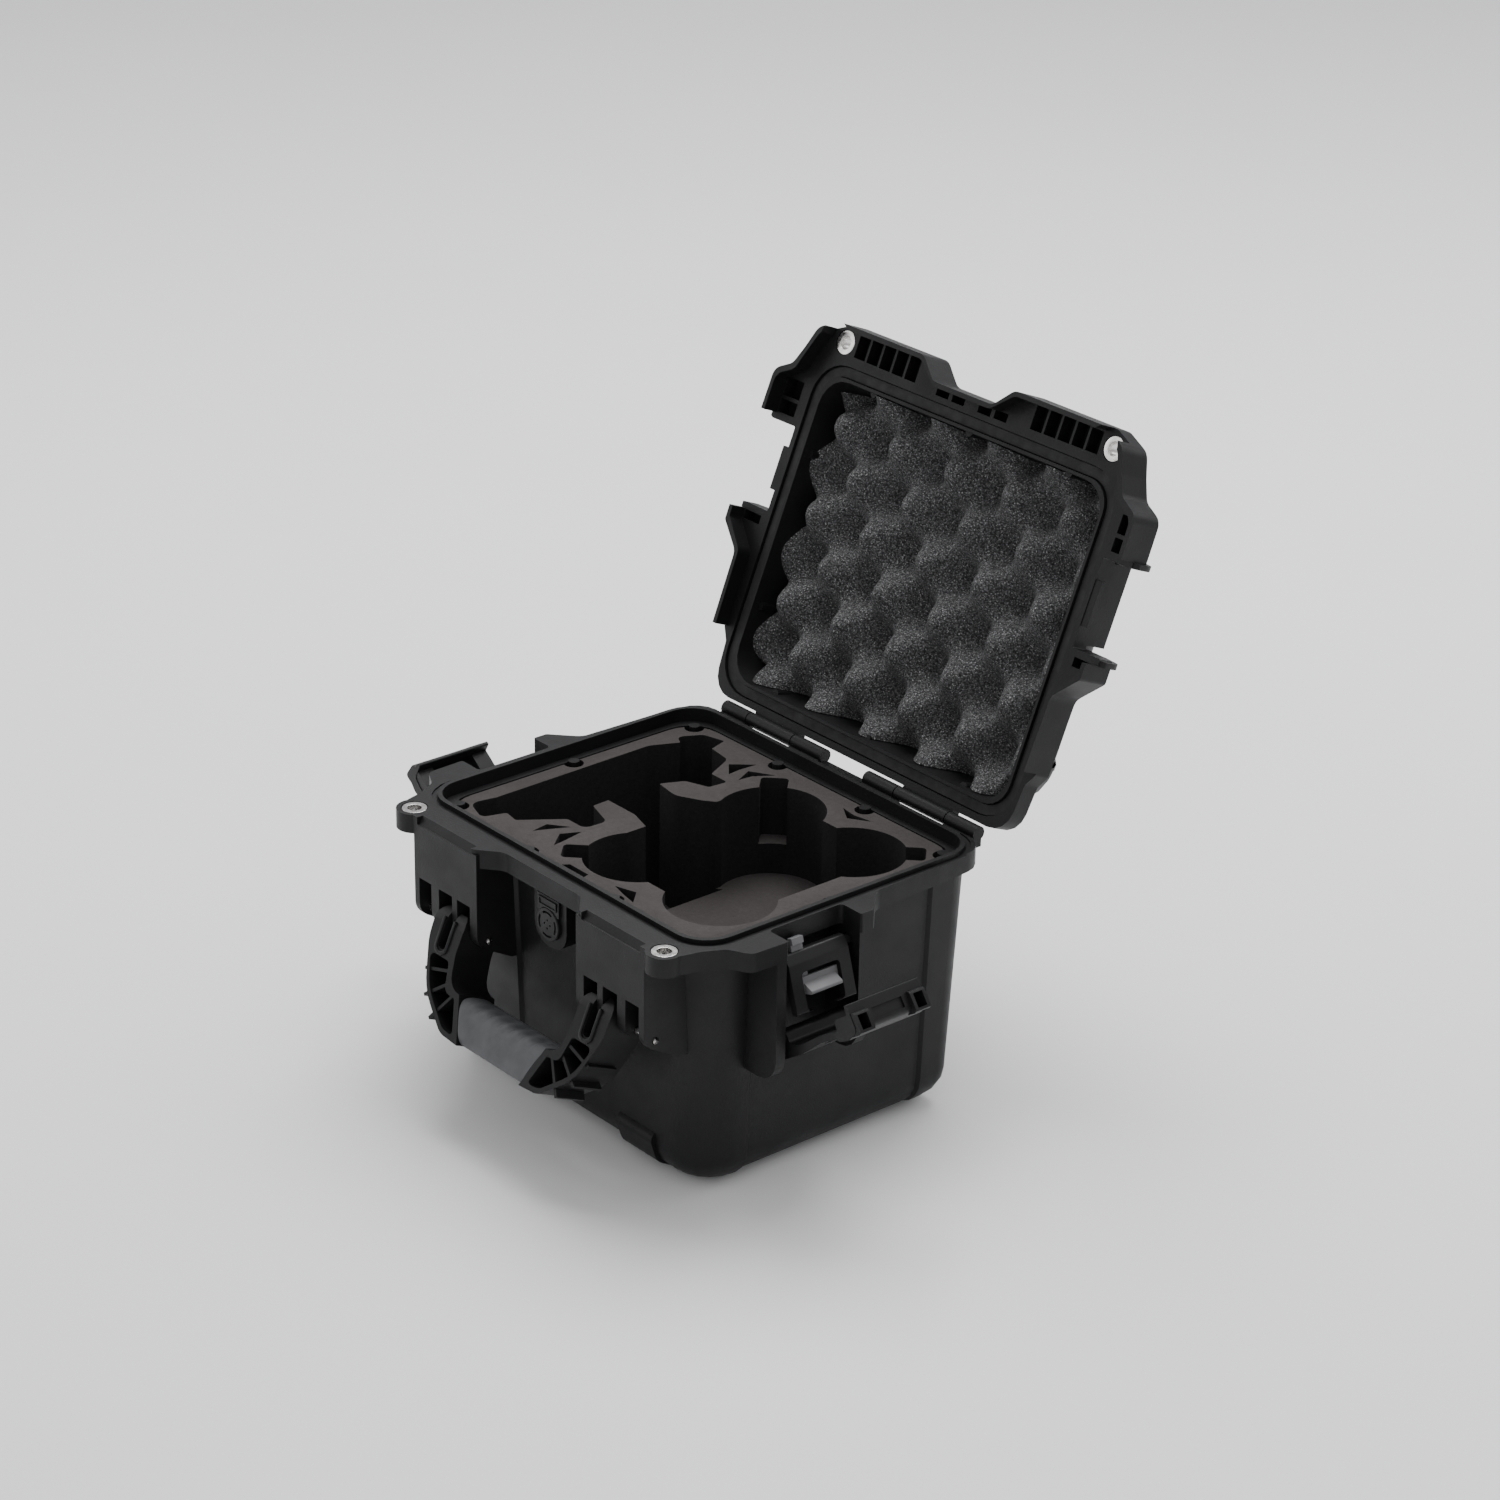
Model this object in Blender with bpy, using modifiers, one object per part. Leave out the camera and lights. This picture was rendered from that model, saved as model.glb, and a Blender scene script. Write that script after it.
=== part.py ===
"""Small hard carrying case for a camera drone, standing open with its lid laid back.

Frame: X to the right along the hinge, Y from the front (handle) to the back (hinge), Z up.
The origin is on the floor, under the middle of the sealing rim.
Sizes are written in millimetres, and helpers turn them into metres when a mesh is made.
Heights are drawn from a level LIFT above the floor, and every piece is raised by it at the end.
The lid is drawn in its closed place and hangs on an empty on the hinge axis, which is turned open.
"""

import math

import bmesh
import bpy
from mathutils import Matrix, Vector

MM = 0.001
GAP = 0.3  # clearance kept between pieces that touch
LIFT = 10.0  # height of the drawing's zero level above the floor

# Sealing rim and flange
RIM_X, RIM_Y, RIM_R = 130.5, 105.5, 22.0  # half sizes and corner radius of the tongue
RIM_WIDTH = 3.0
RIM_TOP = 162.0
FLANGE_TOP = 160.0
FLANGE_BOTTOM = 148.0
PARTING = 160.5  # underside of the closed lid

# Base tub
WALL = 4.4
TUB_TOP_X, TUB_TOP_Y = 127.0, 102.0
TUB_FLOOR_X, TUB_FLOOR_Y = 121.5, 96.5
TUB_R = 30.0
TUB_BACK_R = 16.0
TUB_BACK_MORE = 2.5  # how much further the back wall stands out than the front wall
TUB_EDGE_R = 23.0
TUB_BOTTOM = -9.2
FLOOR_TOP = -4.8
LEDGE_TOP = 153.5
LEDGE_X, LEDGE_Y, LEDGE_R = 122.5, 98.0, 17.0
SIDE_STEP = 2.0  # how far the middle of each side lies back from its corners
FRONT_STEP_X = 47.0
SIDE_STEP_Y = (-62.0, 72.0)

# Lid
LID_TOP = 208.0
LID_SKIRT_BOTTOM = 149.5
LID_WEB_TOP = 172.0
LID_CAVITY_TOP = 204.0
SKIRT_WALL = 3.0
LAND_X, LAND_Y, LAND_R = 137.0, 111.5, 27.0

# Lid hinge
HINGE_Y, HINGE_Z = 117.6, 159.3
LID_OPEN = 112.76  # degrees between the closed and the resting lid
KNUCKLE_R = 4.5
HINGE_PIN_R = 1.8
BASE_KNUCKLES = ((-116.0, -93.0), (-50.0, -22.0), (17.0, 44.0), (90.0, 115.5))
LID_KNUCKLES = ((-92.2, -50.8), (44.8, 89.2))
HINGE_PINS = ((-115.0, -23.0), (18.0, 114.5))

# Eyelets for padlocks
EYELET_X, EYELET_Y = 117.5, -120.8
EYELET_BOSS_R, EYELET_HOLE_R, EYELET_FLANGE_R, EYELET_BORE_R = 11.0, 6.9, 7.6, 4.2

# Handle
HANDLE_Y, HANDLE_Z = -119.5, 99.0
HANDLE_TILT = 24.0  # degrees that it rests away from hanging straight down
HANDLE_HALF = 14.0  # half of its thickness
HANDLE_PIN_R = 2.0
TOWER_X = (47.0, 108.5)
TOWER_FRONT = -128.0
SLOT_FRONT_TO = -104.5
SLOT_TOP = 121.0
SLOTS = ((54.0, 66.5), (71.5, 84.5), (92.0, 104.0))
GRIP_HALF = 38.0

# Latches
BAY_FRONT, BAY_BACK = (-67.0, -60.0), (-6.0, 2.0)
BAY_MID = -33.0
BAY_X = 151.0
BAY_BOTTOM = 70.0
LEVER_X, LEVER_Z = 143.6, 94.0
LEVER_OPEN = {"left": 53.0, "right": 54.0}  # degrees that each claw stands open
KEEPER_X, KEEPER_Z = 140.6, 140.0
KEEPER_SHARE = 0.32  # the keeper swings this much of its claw's turn
LATCH_PIN_R = 2.0
BAR_HALF = 26.4
LEVER_HALF = 23.0
KEEPER_HALF = 22.0

# Pressure valve
VALVE_Z = 126.5
VALVE_FACE = -110.0
VALVE_HOLE_R = 6.0

# Foam
FOAM_TOP = 153.0
FOAM_BOTTOM = 15.3
FOAM_TOP_X, FOAM_TOP_Y = 121.9, 97.4
FOAM_LOW_X, FOAM_LOW_Y = 115.2, 90.2
FOAM_R = 21.0
DRONE_FLOOR = 95.0
CONTROLLER_FLOOR = 45.0
LEAF_FLOOR = 128.0
GUARD_R = 33.0
GUARDS = ((6.0, 51.5), (78.0, 51.5), (6.0, -50.0), (78.0, -48.0))

MATERIALS = {
    "shell_black": ((0.022, 0.022, 0.024), 0.5, 0.0),
    "latch_black": ((0.026, 0.026, 0.028), 0.42, 0.0),
    "grip_grey": ((0.11, 0.115, 0.12), 0.6, 0.0),
    "lock_grey": ((0.2, 0.2, 0.21), 0.5, 0.0),
    "stainless": ((0.62, 0.61, 0.6), 0.25, 1.0),
    "foam_dark": ((0.05, 0.047, 0.047), 0.95, 0.0),
    "foam_charcoal": ((0.035, 0.035, 0.037), 0.95, 0.0),
    "seal_rubber": ((0.02, 0.02, 0.02), 0.7, 0.0),
    "membrane_white": ((0.7, 0.7, 0.68), 0.8, 0.0),
}


# ---------------------------------------------------------------- outlines

def arc(x, y, radius, start, end, steps):
    """Points on an arc, with its angles in degrees."""
    turn = [math.radians(start + (end - start) * i / steps) for i in range(steps + 1)]
    return [(x + radius * math.cos(a), y + radius * math.sin(a)) for a in turn]


def circle(x, y, radius, steps=24):
    return arc(x, y, radius, 0, 360, steps)[:-1]


def rounded(corners, steps=4):
    """A polygon whose corners (x, y, radius) are rounded by arcs."""
    points = []
    count = len(corners)
    for i, (x, y, radius) in enumerate(corners):
        here = Vector((x, y))
        before = Vector(corners[i - 1][:2]) - here
        after = Vector(corners[(i + 1) % count][:2]) - here
        if radius <= 0:
            points.append((x, y))
            continue
        half = before.angle(after) / 2
        reach = radius / math.tan(half)
        centre = here + (before.normalized() + after.normalized()).normalized() * (
            radius / math.sin(half)
        )
        first = here + before.normalized() * reach - centre
        turn = first.angle_signed(here + after.normalized() * reach - centre)
        for k in range(steps + 1):
            spoke = first.copy()
            spoke.rotate(Matrix.Rotation(-turn * k / steps, 2))
            points.append(tuple(centre + spoke))
    return points


def rounded_box(half_x, half_y, radius, steps=5, x=0.0, y=0.0):
    corners = [(half_x, -half_y), (half_x, half_y), (-half_x, half_y), (-half_x, -half_y)]
    return rounded([(x + cx, y + cy, radius) for cx, cy in corners], steps)


def both_sides(half):
    """A full list of corners from its right half, which runs from the front to the back."""
    return list(half) + [(-x, y, r) for x, y, r in reversed(half)]


# ---------------------------------------------------------------- solids

PLANES = {
    "XY": Matrix(((1, 0, 0), (0, 1, 0), (0, 0, 1))),
    "YZ": Matrix(((0, 0, 1), (1, 0, 0), (0, 1, 0))),
    "XZ": Matrix(((1, 0, 0), (0, 0, -1), (0, 1, 0))),
}


def scratch(mesh, name="scratch"):
    thing = bpy.data.objects.new(name, mesh)
    bpy.context.scene.collection.objects.link(thing)
    return thing


def prism(outlines, low, high, plane="XY"):
    """Flat outlines, the outer one first and its holes after it, made solid from low to high."""
    if plane == "XZ":
        low, high = -high, -low
    curve = bpy.data.curves.new("outline", "CURVE")
    curve.dimensions = "2D"
    curve.fill_mode = "BOTH"
    curve.extrude = (high - low) / 2 * MM
    for outline in outlines:
        spline = curve.splines.new("POLY")
        spline.points.add(len(outline) - 1)
        for point, (x, y) in zip(spline.points, outline):
            point.co = (x * MM, y * MM, 0, 1)
        spline.use_cyclic_u = True
    holder = scratch(curve)
    bpy.context.view_layer.update()
    graph = bpy.context.evaluated_depsgraph_get()
    mesh = bpy.data.meshes.new_from_object(holder.evaluated_get(graph))
    bpy.data.objects.remove(holder)
    bpy.data.curves.remove(curve)
    lift = Matrix.Translation((0, 0, (high + low) / 2 * MM))
    mesh.transform(PLANES[plane].to_4x4() @ lift)
    shape = bmesh.new()
    shape.from_mesh(mesh)
    bmesh.ops.remove_doubles(shape, verts=shape.verts, dist=1e-7)
    bmesh.ops.dissolve_limit(shape, angle_limit=0.001, verts=shape.verts, edges=shape.edges)
    bmesh.ops.recalc_face_normals(shape, faces=shape.faces)
    shape.to_mesh(mesh)
    shape.free()
    return scratch(mesh)


def loft(sections):
    """A closed skin through rings (points, z) that all have the same number of points."""
    shape = bmesh.new()
    rings = []
    for points, z in sections:
        rings.append([shape.verts.new((x * MM, y * MM, z * MM)) for x, y in points])
    for low, high in zip(rings, rings[1:]):
        for i in range(len(low)):
            j = (i + 1) % len(low)
            shape.faces.new((low[i], low[j], high[j], high[i]))
    shape.faces.new(list(reversed(rings[0])))
    shape.faces.new(rings[-1])
    bmesh.ops.recalc_face_normals(shape, faces=shape.faces)
    mesh = bpy.data.meshes.new("loft")
    shape.to_mesh(mesh)
    shape.free()
    return scratch(mesh)


def box(x, y, z):
    """A block from its three (low, high) ranges."""
    mesh = bpy.data.meshes.new("box")
    shape = bmesh.new()
    bmesh.ops.create_cube(shape, size=1)
    size = Matrix.Diagonal([(hi - lo) * MM for lo, hi in (x, y, z)] + [1])
    place = Matrix.Translation([(hi + lo) / 2 * MM for lo, hi in (x, y, z)])
    bmesh.ops.transform(shape, matrix=place @ size, verts=shape.verts)
    shape.to_mesh(mesh)
    shape.free()
    return scratch(mesh)


AXES = {"X": Matrix.Rotation(math.pi / 2, 4, "Y"), "Y": Matrix.Rotation(math.pi / 2, 4, "X"), "Z": Matrix()}


def cylinder(axis, low, high, radius, a, b, steps=20):
    """A round bar along an axis from low to high, at (a, b) on the two other axes in X, Y, Z order."""
    mesh = bpy.data.meshes.new("cylinder")
    shape = bmesh.new()
    bmesh.ops.create_cone(
        shape, cap_ends=True, segments=steps, radius1=radius * MM, radius2=radius * MM,
        depth=(high - low) * MM,
    )
    middle = (high + low) / 2
    centre = {"X": (middle, a, b), "Y": (a, middle, b), "Z": (a, b, middle)}[axis]
    place = Matrix.Translation([c * MM for c in centre]) @ AXES[axis]
    bmesh.ops.transform(shape, matrix=place, verts=shape.verts)
    shape.to_mesh(mesh)
    shape.free()
    return scratch(mesh)


def turned(profile, steps=28):
    """A ring turned about Z from a closed profile of (radius, z) that runs down its outer side."""
    mesh = bpy.data.meshes.new("profile")
    points = [(r * MM, 0, z * MM) for r, z in profile]
    edges = [(i, (i + 1) % len(points)) for i in range(len(points))]
    mesh.from_pydata(points, edges, [])
    thing = scratch(mesh)
    screw = thing.modifiers.new("turn", "SCREW")
    screw.steps = screw.render_steps = steps
    screw.use_merge_vertices = True
    screw.merge_threshold = 0.00001
    return settle(thing)


def settle(thing):
    """Applies the modifiers of an object."""
    bpy.context.view_layer.update()
    graph = bpy.context.evaluated_depsgraph_get()
    mesh = bpy.data.meshes.new_from_object(thing.evaluated_get(graph))
    thing.modifiers.clear()
    thing.data = mesh
    return thing


def combine(target, tools, operation, solver="EXACT"):
    for tool in tools:
        modifier = target.modifiers.new("combine", "BOOLEAN")
        modifier.operation = operation
        modifier.solver = solver
        modifier.object = tool
    settle(target)
    for tool in tools:
        bpy.data.objects.remove(tool)
    return target


def join(target, *tools):
    return combine(target, tools, "UNION")


def cut(target, *tools):
    return combine(target, tools, "DIFFERENCE")


def moved(thing, matrix):
    thing.data.transform(matrix)
    return thing


def flipped(thing):
    """The same shape on the other side of the X = 0 plane."""
    thing.data.transform(Matrix.Diagonal((-1, 1, 1, 1)))
    thing.data.flip_normals()
    return thing


def on_both_sides(make):
    return [make(), flipped(make())]


def material(name):
    found = bpy.data.materials.get(name)
    if found:
        return found
    colour, roughness, metallic = MATERIALS[name]
    made = bpy.data.materials.new(name)
    made.use_nodes = True
    shader = made.node_tree.nodes["Principled BSDF"]
    shader.inputs["Base Color"].default_value = (*colour, 1)
    shader.inputs["Roughness"].default_value = roughness
    shader.inputs["Metallic"].default_value = metallic
    made.diffuse_color = (*colour, 1)
    return made


def pivot(name, x, y, z, axis, degrees, side=1):
    """An empty on a joint's axis, turned to the resting angle."""
    empty = bpy.data.objects.new(name, None)
    empty.location = (x * side * MM, y * MM, (z + LIFT) * MM)
    setattr(empty.rotation_euler, axis, math.radians(degrees) * side)
    PARTS.objects.link(empty)
    return empty


def keep(thing, name, look, parent=None):
    """Names a finished piece, gives it its material and hangs it on its joint's empty."""
    bpy.context.scene.collection.objects.unlink(thing)
    PARTS.objects.link(thing)
    thing.name = name
    thing.data.name = name
    thing.data.materials.clear()
    thing.data.materials.append(material(look))
    thing.data.shade_smooth()
    thing.data.set_sharp_from_angle(angle=math.radians(32))
    thing.data.transform(Matrix.Translation((0, 0, LIFT * MM)))
    if parent:
        thing.data.transform(Matrix.Translation(-parent.location))
        thing.parent = parent
    return thing


# ---------------------------------------------------------------- base shell

def tub_section(half_x, half_y):
    """A rounded rectangle whose sides lie back between the corner columns."""
    low, high = SIDE_STEP_Y
    step = SIDE_STEP
    back = half_y + TUB_BACK_MORE
    return rounded(both_sides([
        (FRONT_STEP_X - step, -half_y + step, 0),
        (FRONT_STEP_X, -half_y, 0),
        (half_x, -half_y, TUB_R - max(0.0, TUB_TOP_X - half_x) * 0.5),
        (half_x, low, 0),
        (half_x - step, low + step, 0),
        (half_x - step, high - step, 0),
        (half_x, high, 0),
        (half_x, back, TUB_BACK_R - max(0.0, TUB_TOP_X - half_x) * 0.4),
        (FRONT_STEP_X, back, 0),
        (FRONT_STEP_X - step, back - step, 0),
    ]), 5)


def tub_outside():
    steps = 5
    sections = []
    for i in range(steps + 1):
        turn = math.radians(90 * i / steps)
        inset = TUB_EDGE_R * (1 - math.sin(turn))
        z = TUB_BOTTOM + TUB_EDGE_R * (1 - math.cos(turn))
        sections.append((tub_section(TUB_FLOOR_X - inset, TUB_FLOOR_Y - inset), z))
    sections.append((tub_section(TUB_TOP_X, TUB_TOP_Y), FLANGE_BOTTOM + 3))
    return loft(sections)


def tub_inside():
    steps = 3
    radius = 12.0
    sections = []
    for i in range(steps + 1):
        turn = math.radians(90 * i / steps)
        inset = radius * (1 - math.sin(turn))
        z = FLOOR_TOP + radius * (1 - math.cos(turn))
        half_x, half_y = TUB_FLOOR_X - WALL - inset, TUB_FLOOR_Y - WALL - inset
        sections.append((rounded_box(half_x, half_y, TUB_R - 6 - inset * 0.6), z))
    sections.append((rounded_box(LEDGE_X, LEDGE_Y, LEDGE_R + 3), LEDGE_TOP + 1))
    return loft(sections)


def flange_outline():
    ear_in = 135.0
    return rounded(both_sides([
        (36.0, -116.0, 10),
        (50.0, -128.0, 8),
        (112.0, -128.0, 4),
        (128.0, -120.0, 8),
        (131.5, -106.0, 10),
        (138.0, -93.0, 8),
        (151.5, -86.0, 7),
        (BAY_X + 1.5, BAY_FRONT[1] + 0.2, 1.5),
        (ear_in, BAY_FRONT[1], 3),
        (ear_in, BAY_BACK[0], 3),
        (BAY_X + 1.0, BAY_BACK[0] - 0.2, 1.5),
        (BAY_X + 1.0, 3.6, 2),
        (135.5, 19.0, 10),
        (134.0, 70.0, 30),
        (131.0, 109.0, 16),
        (60.0, 109.0, 0),
    ]), 4)


def tower():
    """One of the two blocks under the front flange that carry the handle's pin."""
    side = rounded([
        (-95.0, 157.0, 0),
        (TOWER_FRONT, 157.0, 0),
        (TOWER_FRONT, 98.0, 11),
        (-119.0, 92.5, 7),
        (-103.0, 83.5, 3),
        (-95.0, 82.5, 0),
    ], 4)
    block = prism([list(reversed(side))], *TOWER_X, plane="YZ")
    slots = [box(x, (TOWER_FRONT - 5, SLOT_FRONT_TO), (70, SLOT_TOP)) for x in SLOTS]
    return cut(block, *slots)


def bay_wall(y):
    """A side wall of a latch's bay."""
    side = rounded([(116.0, BAY_BOTTOM, 0), (BAY_X, BAY_BOTTOM, 15), (BAY_X, 158.0, 2), (116.0, 158.0, 0)], 4)
    return prism([side], *y, plane="XZ")


def foot_pad():
    """The bulge under each front corner that nests in a lid below when cases are stacked."""
    side = rounded([(-90.0, 24.0, 0), (-100.5, 16.0, 6), (-95.0, -1.0, 12), (-80.0, -9.6, 10), (-58.0, -9.6, 0), (-58.0, 6.0, 0)], 4)
    return prism([side], FRONT_STEP_X + 1, 80.0, plane="YZ")


def corner_foot(y):
    return cylinder("Z", -LIFT, TUB_BOTTOM + 2, 9.0, 76.0, y, 20)


def ledge_boss(x, y):
    return cylinder("Z", LEDGE_TOP - 12, LEDGE_TOP + 1.4, 3.6, x, y, 12)


def ledge_boss_places():
    return [
        (-119.8, 0.0), (119.8, 0.0), (-40.0, 95.3), (40.0, 95.3), (-40.0, -95.3), (40.0, -95.3),
        (-114.5, 90.5), (114.5, 90.5), (-114.5, -90.5), (114.5, -90.5),
    ]


def base_shell():
    shell = tub_outside()
    additions = [
        prism([flange_outline()], FLANGE_BOTTOM, FLANGE_TOP),
        prism([rounded_box(RIM_X, RIM_Y, RIM_R, 6)], FLANGE_BOTTOM + 2, RIM_TOP),
        prism([list(reversed(valve_boss_outline()))], VALVE_FACE, -96.0, plane="XZ"),
    ]
    for make in (tower, foot_pad):
        additions += on_both_sides(make)
    for wall in (BAY_FRONT, BAY_BACK):
        additions += on_both_sides(lambda wall=wall: bay_wall(wall))
    for y in (-50.0, 56.0):
        additions += on_both_sides(lambda y=y: corner_foot(y))
    additions += on_both_sides(
        lambda: cylinder("Z", FLANGE_BOTTOM, FLANGE_TOP, EYELET_BOSS_R, EYELET_X, EYELET_Y, 28)
    )
    for low, high in BASE_KNUCKLES:
        additions.append(cylinder("X", low, high, KNUCKLE_R, HINGE_Y, HINGE_Z, 16))
        additions.append(box((low + 0.4, high - 0.4), (106, HINGE_Y + 2.5), (150.2, HINGE_Z - 1.5)))
    additions += [back_fin(x) for x in (-70.0, 70.0)]
    additions.append(prism([circle(0, 0, 16, 24)], -LIFT, TUB_BOTTOM + 2))
    combine(shell, additions, "UNION", "MANIFOLD")
    hollows = [
        tub_inside(),
        prism([rounded_box(RIM_X - RIM_WIDTH, RIM_Y - RIM_WIDTH, RIM_R - RIM_WIDTH, 6)], LEDGE_TOP, RIM_TOP + 5),
        prism([
            rounded_box(RIM_X + 3.5, RIM_Y + 3.5, RIM_R + 3.5, 6),
            rounded_box(RIM_X + 0.01, RIM_Y + 0.01, RIM_R + 0.01, 6),
        ], FLANGE_TOP - 1, RIM_TOP + 5),
    ]
    combine(shell, hollows, "DIFFERENCE", "MANIFOLD")
    combine(shell, [ledge_boss(x, y) for x, y in ledge_boss_places()], "UNION", "MANIFOLD")
    combine(shell, base_holes(), "DIFFERENCE", "MANIFOLD")
    return keep(shell, "base_shell", "shell_black")


def back_fin(x):
    """A rib under the hinge that the case can stand on when it lies on its back."""
    side = rounded([(96.0, 96.0, 0), (109.0, 112.0, 6), (109.0, 150.0, 0), (96.0, 150.0, 0)], 3)
    return prism([side], x - 4, x + 4, plane="YZ")


def base_holes():
    holes = [cylinder("X", low - 0.5, high + 0.5, HINGE_PIN_R + GAP, HINGE_Y, HINGE_Z, 14) for low, high in HINGE_PINS]
    holes.append(cylinder("Y", -115.0, -85.0, VALVE_HOLE_R, 0.0, VALVE_Z, 20))
    holes.append(cylinder("Y", -115.0, VALVE_FACE + 2.2, 8.2, 0.0, VALVE_Z, 20))
    chamfer = rounded([(-132.0, 155.5, 0), (-127.0, 155.5, 0), (-123.0, 161.0, 0), (-132.0, 161.0, 0)])
    for make in (
        lambda: cylinder("Z", 140, 165, EYELET_HOLE_R + GAP, EYELET_X, EYELET_Y, 28),
        lambda: cylinder("Z", FLANGE_TOP - 1.2, 165, EYELET_FLANGE_R + 0.4, EYELET_X, EYELET_Y, 28),
        lambda: cylinder("X", TOWER_X[0] - 5, TOWER_X[1] + 5, HANDLE_PIN_R + GAP, HANDLE_Y, HANDLE_Z, 14),
        lambda: cylinder("Y", BAY_FRONT[0] + 3, BAY_BACK[1] - 3, LATCH_PIN_R + GAP, LEVER_X, LEVER_Z, 14),
        lambda: cylinder("Y", BAY_MID - 31, BAY_MID + 31, 3 + GAP, KEEPER_X, KEEPER_Z, 14),
        lambda: prism([chamfer], 52.0, 105.0, plane="YZ"),
    ):
        holes += on_both_sides(make)
    return holes


# ---------------------------------------------------------------- fixed fittings of the base

def valve_boss_outline():
    """A plate with a straight top and a round lower end."""
    return rounded([(-15.0, FLANGE_BOTTOM + 4, 0), (-15.0, 111.0, 13), (15.0, 111.0, 13), (15.0, FLANGE_BOTTOM + 4, 0)], 5)


def eyelet(top, bottom, flange_at_top):
    """A flanged steel bush between two heights."""
    lip = 0.9
    r = EYELET_HOLE_R
    if flange_at_top:
        outer = [(EYELET_FLANGE_R, top), (EYELET_FLANGE_R, top - lip + 0.2), (r, top - lip + 0.2), (r, bottom)]
    else:
        outer = [(r, top), (r, bottom + lip - 0.2), (EYELET_FLANGE_R, bottom + lip - 0.2), (EYELET_FLANGE_R, bottom)]
    inner = [(EYELET_BORE_R, bottom), (EYELET_BORE_R, top)]
    return turned(outer + inner)


def eyelets():
    for side, word in ((-1, "left"), (1, "right")):
        place = Matrix.Translation((side * EYELET_X * MM, EYELET_Y * MM, 0))
        low = moved(eyelet(FLANGE_TOP - 0.2, FLANGE_BOTTOM + 0.5, True), place)
        keep(low, f"base_eyelet_{word}", "stainless")
        high = moved(eyelet(LID_WEB_TOP - 0.5, PARTING + 0.2, False), place)
        keep(high, f"lid_eyelet_{word}", "stainless", LID)


def pins():
    for (low, high), word in zip(HINGE_PINS, ("left", "right")):
        keep(cylinder("X", low, high, HINGE_PIN_R, HINGE_Y, HINGE_Z, 14), f"hinge_pin_{word}", "stainless")
    for side, word in ((-1, "left"), (1, "right")):
        make = cylinder("X", TOWER_X[0] - 0.6, TOWER_X[1] + 0.6, HANDLE_PIN_R, HANDLE_Y, HANDLE_Z, 14)
        keep(make if side > 0 else flipped(make), f"handle_pin_{word}", "stainless")
        make = cylinder("Y", BAY_FRONT[0] + 3.4, BAY_BACK[1] - 3.4, LATCH_PIN_R, LEVER_X, LEVER_Z, 14)
        keep(make if side > 0 else flipped(make), f"latch_pin_{word}", "stainless")


def valve():
    """A vent that lets pressure out: a grilled cap, its O-ring and the membrane behind it."""
    face = VALVE_FACE - GAP
    cap = turned([(10.0, 2.2), (10.4, 1.6), (10.4, 0), (5.7, 0), (5.7, -9), (4.4, -9), (4.4, -1.0), (4.4, 2.2)], 24)
    join(cap, cylinder("Z", -1.6, 2.2, 4.9, 0, 0, 20))
    join(cap, box((-10.0, 10.0), (7.0, 17.5), (0.0, 1.5)), box((-8.2, 8.2), (10.6, 16.0), (1.0, 2.3)))
    cut(cap, box((-7.2, 7.2), (11.6, 15.0), (1.7, 4.0)))
    for turn in (0, 90, 180, 270):
        start = math.radians(turn)
        slot = arc(0, 0, 8.3, turn - 32, turn + 32, 5) + list(reversed(arc(0, 0, 6.9, turn - 32, turn + 32, 5)))
        cut(cap, prism([slot], 0.9, 4))
        hole = cylinder("Z", -3, 4, 0.7, 2.6 * math.cos(start), 2.6 * math.sin(start), 8)
        cut(cap, hole)
    stand = Matrix.Translation((0, face * MM, VALVE_Z * MM)) @ Matrix.Rotation(math.pi / 2, 4, "X")
    keep(moved(cap, stand), "valve_cap", "latch_black")
    ring = turned([(7.9, 0), (7.9, -1.6), (6.2, -1.6), (6.2, 0)], 20)
    keep(moved(ring, stand), "valve_o_ring", "seal_rubber")
    membrane = cylinder("Z", -5.0, -4.2, 4.1, 0, 0, 16)
    keep(moved(membrane, stand), "valve_membrane", "membrane_white")


# ---------------------------------------------------------------- lid

def lid_section(half_x, half_y):
    low, high = SIDE_STEP_Y
    radius = TUB_R - max(0.0, TUB_TOP_X - half_x) * 0.5
    return rounded(both_sides([
        (FRONT_STEP_X - SIDE_STEP, -half_y + SIDE_STEP, 0),
        (FRONT_STEP_X, -half_y, 0),
        (half_x, -half_y, radius),
        (half_x, low, 0),
        (half_x - SIDE_STEP, low + SIDE_STEP, 0),
        (half_x - SIDE_STEP, high - SIDE_STEP, 0),
        (half_x, high, 0),
        (half_x, half_y, radius),
        (FRONT_STEP_X, half_y, 0),
        (FRONT_STEP_X - SIDE_STEP, half_y - SIDE_STEP, 0),
    ]), 5)


def lid_dome():
    steps = 4
    radius = 15.0
    top = LID_TOP - 3.0
    sections = [(lid_section(TUB_TOP_X + 1, TUB_TOP_Y + 1), LID_WEB_TOP - 4)]
    for i in range(steps + 1):
        turn = math.radians(90 * i / steps)
        inset = radius * (1 - math.cos(turn))
        z = top - radius * (1 - math.sin(turn))
        sections.append((lid_section(TUB_TOP_X - 3 - inset, TUB_TOP_Y - 3 - inset), z))
    return loft(sections)


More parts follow.
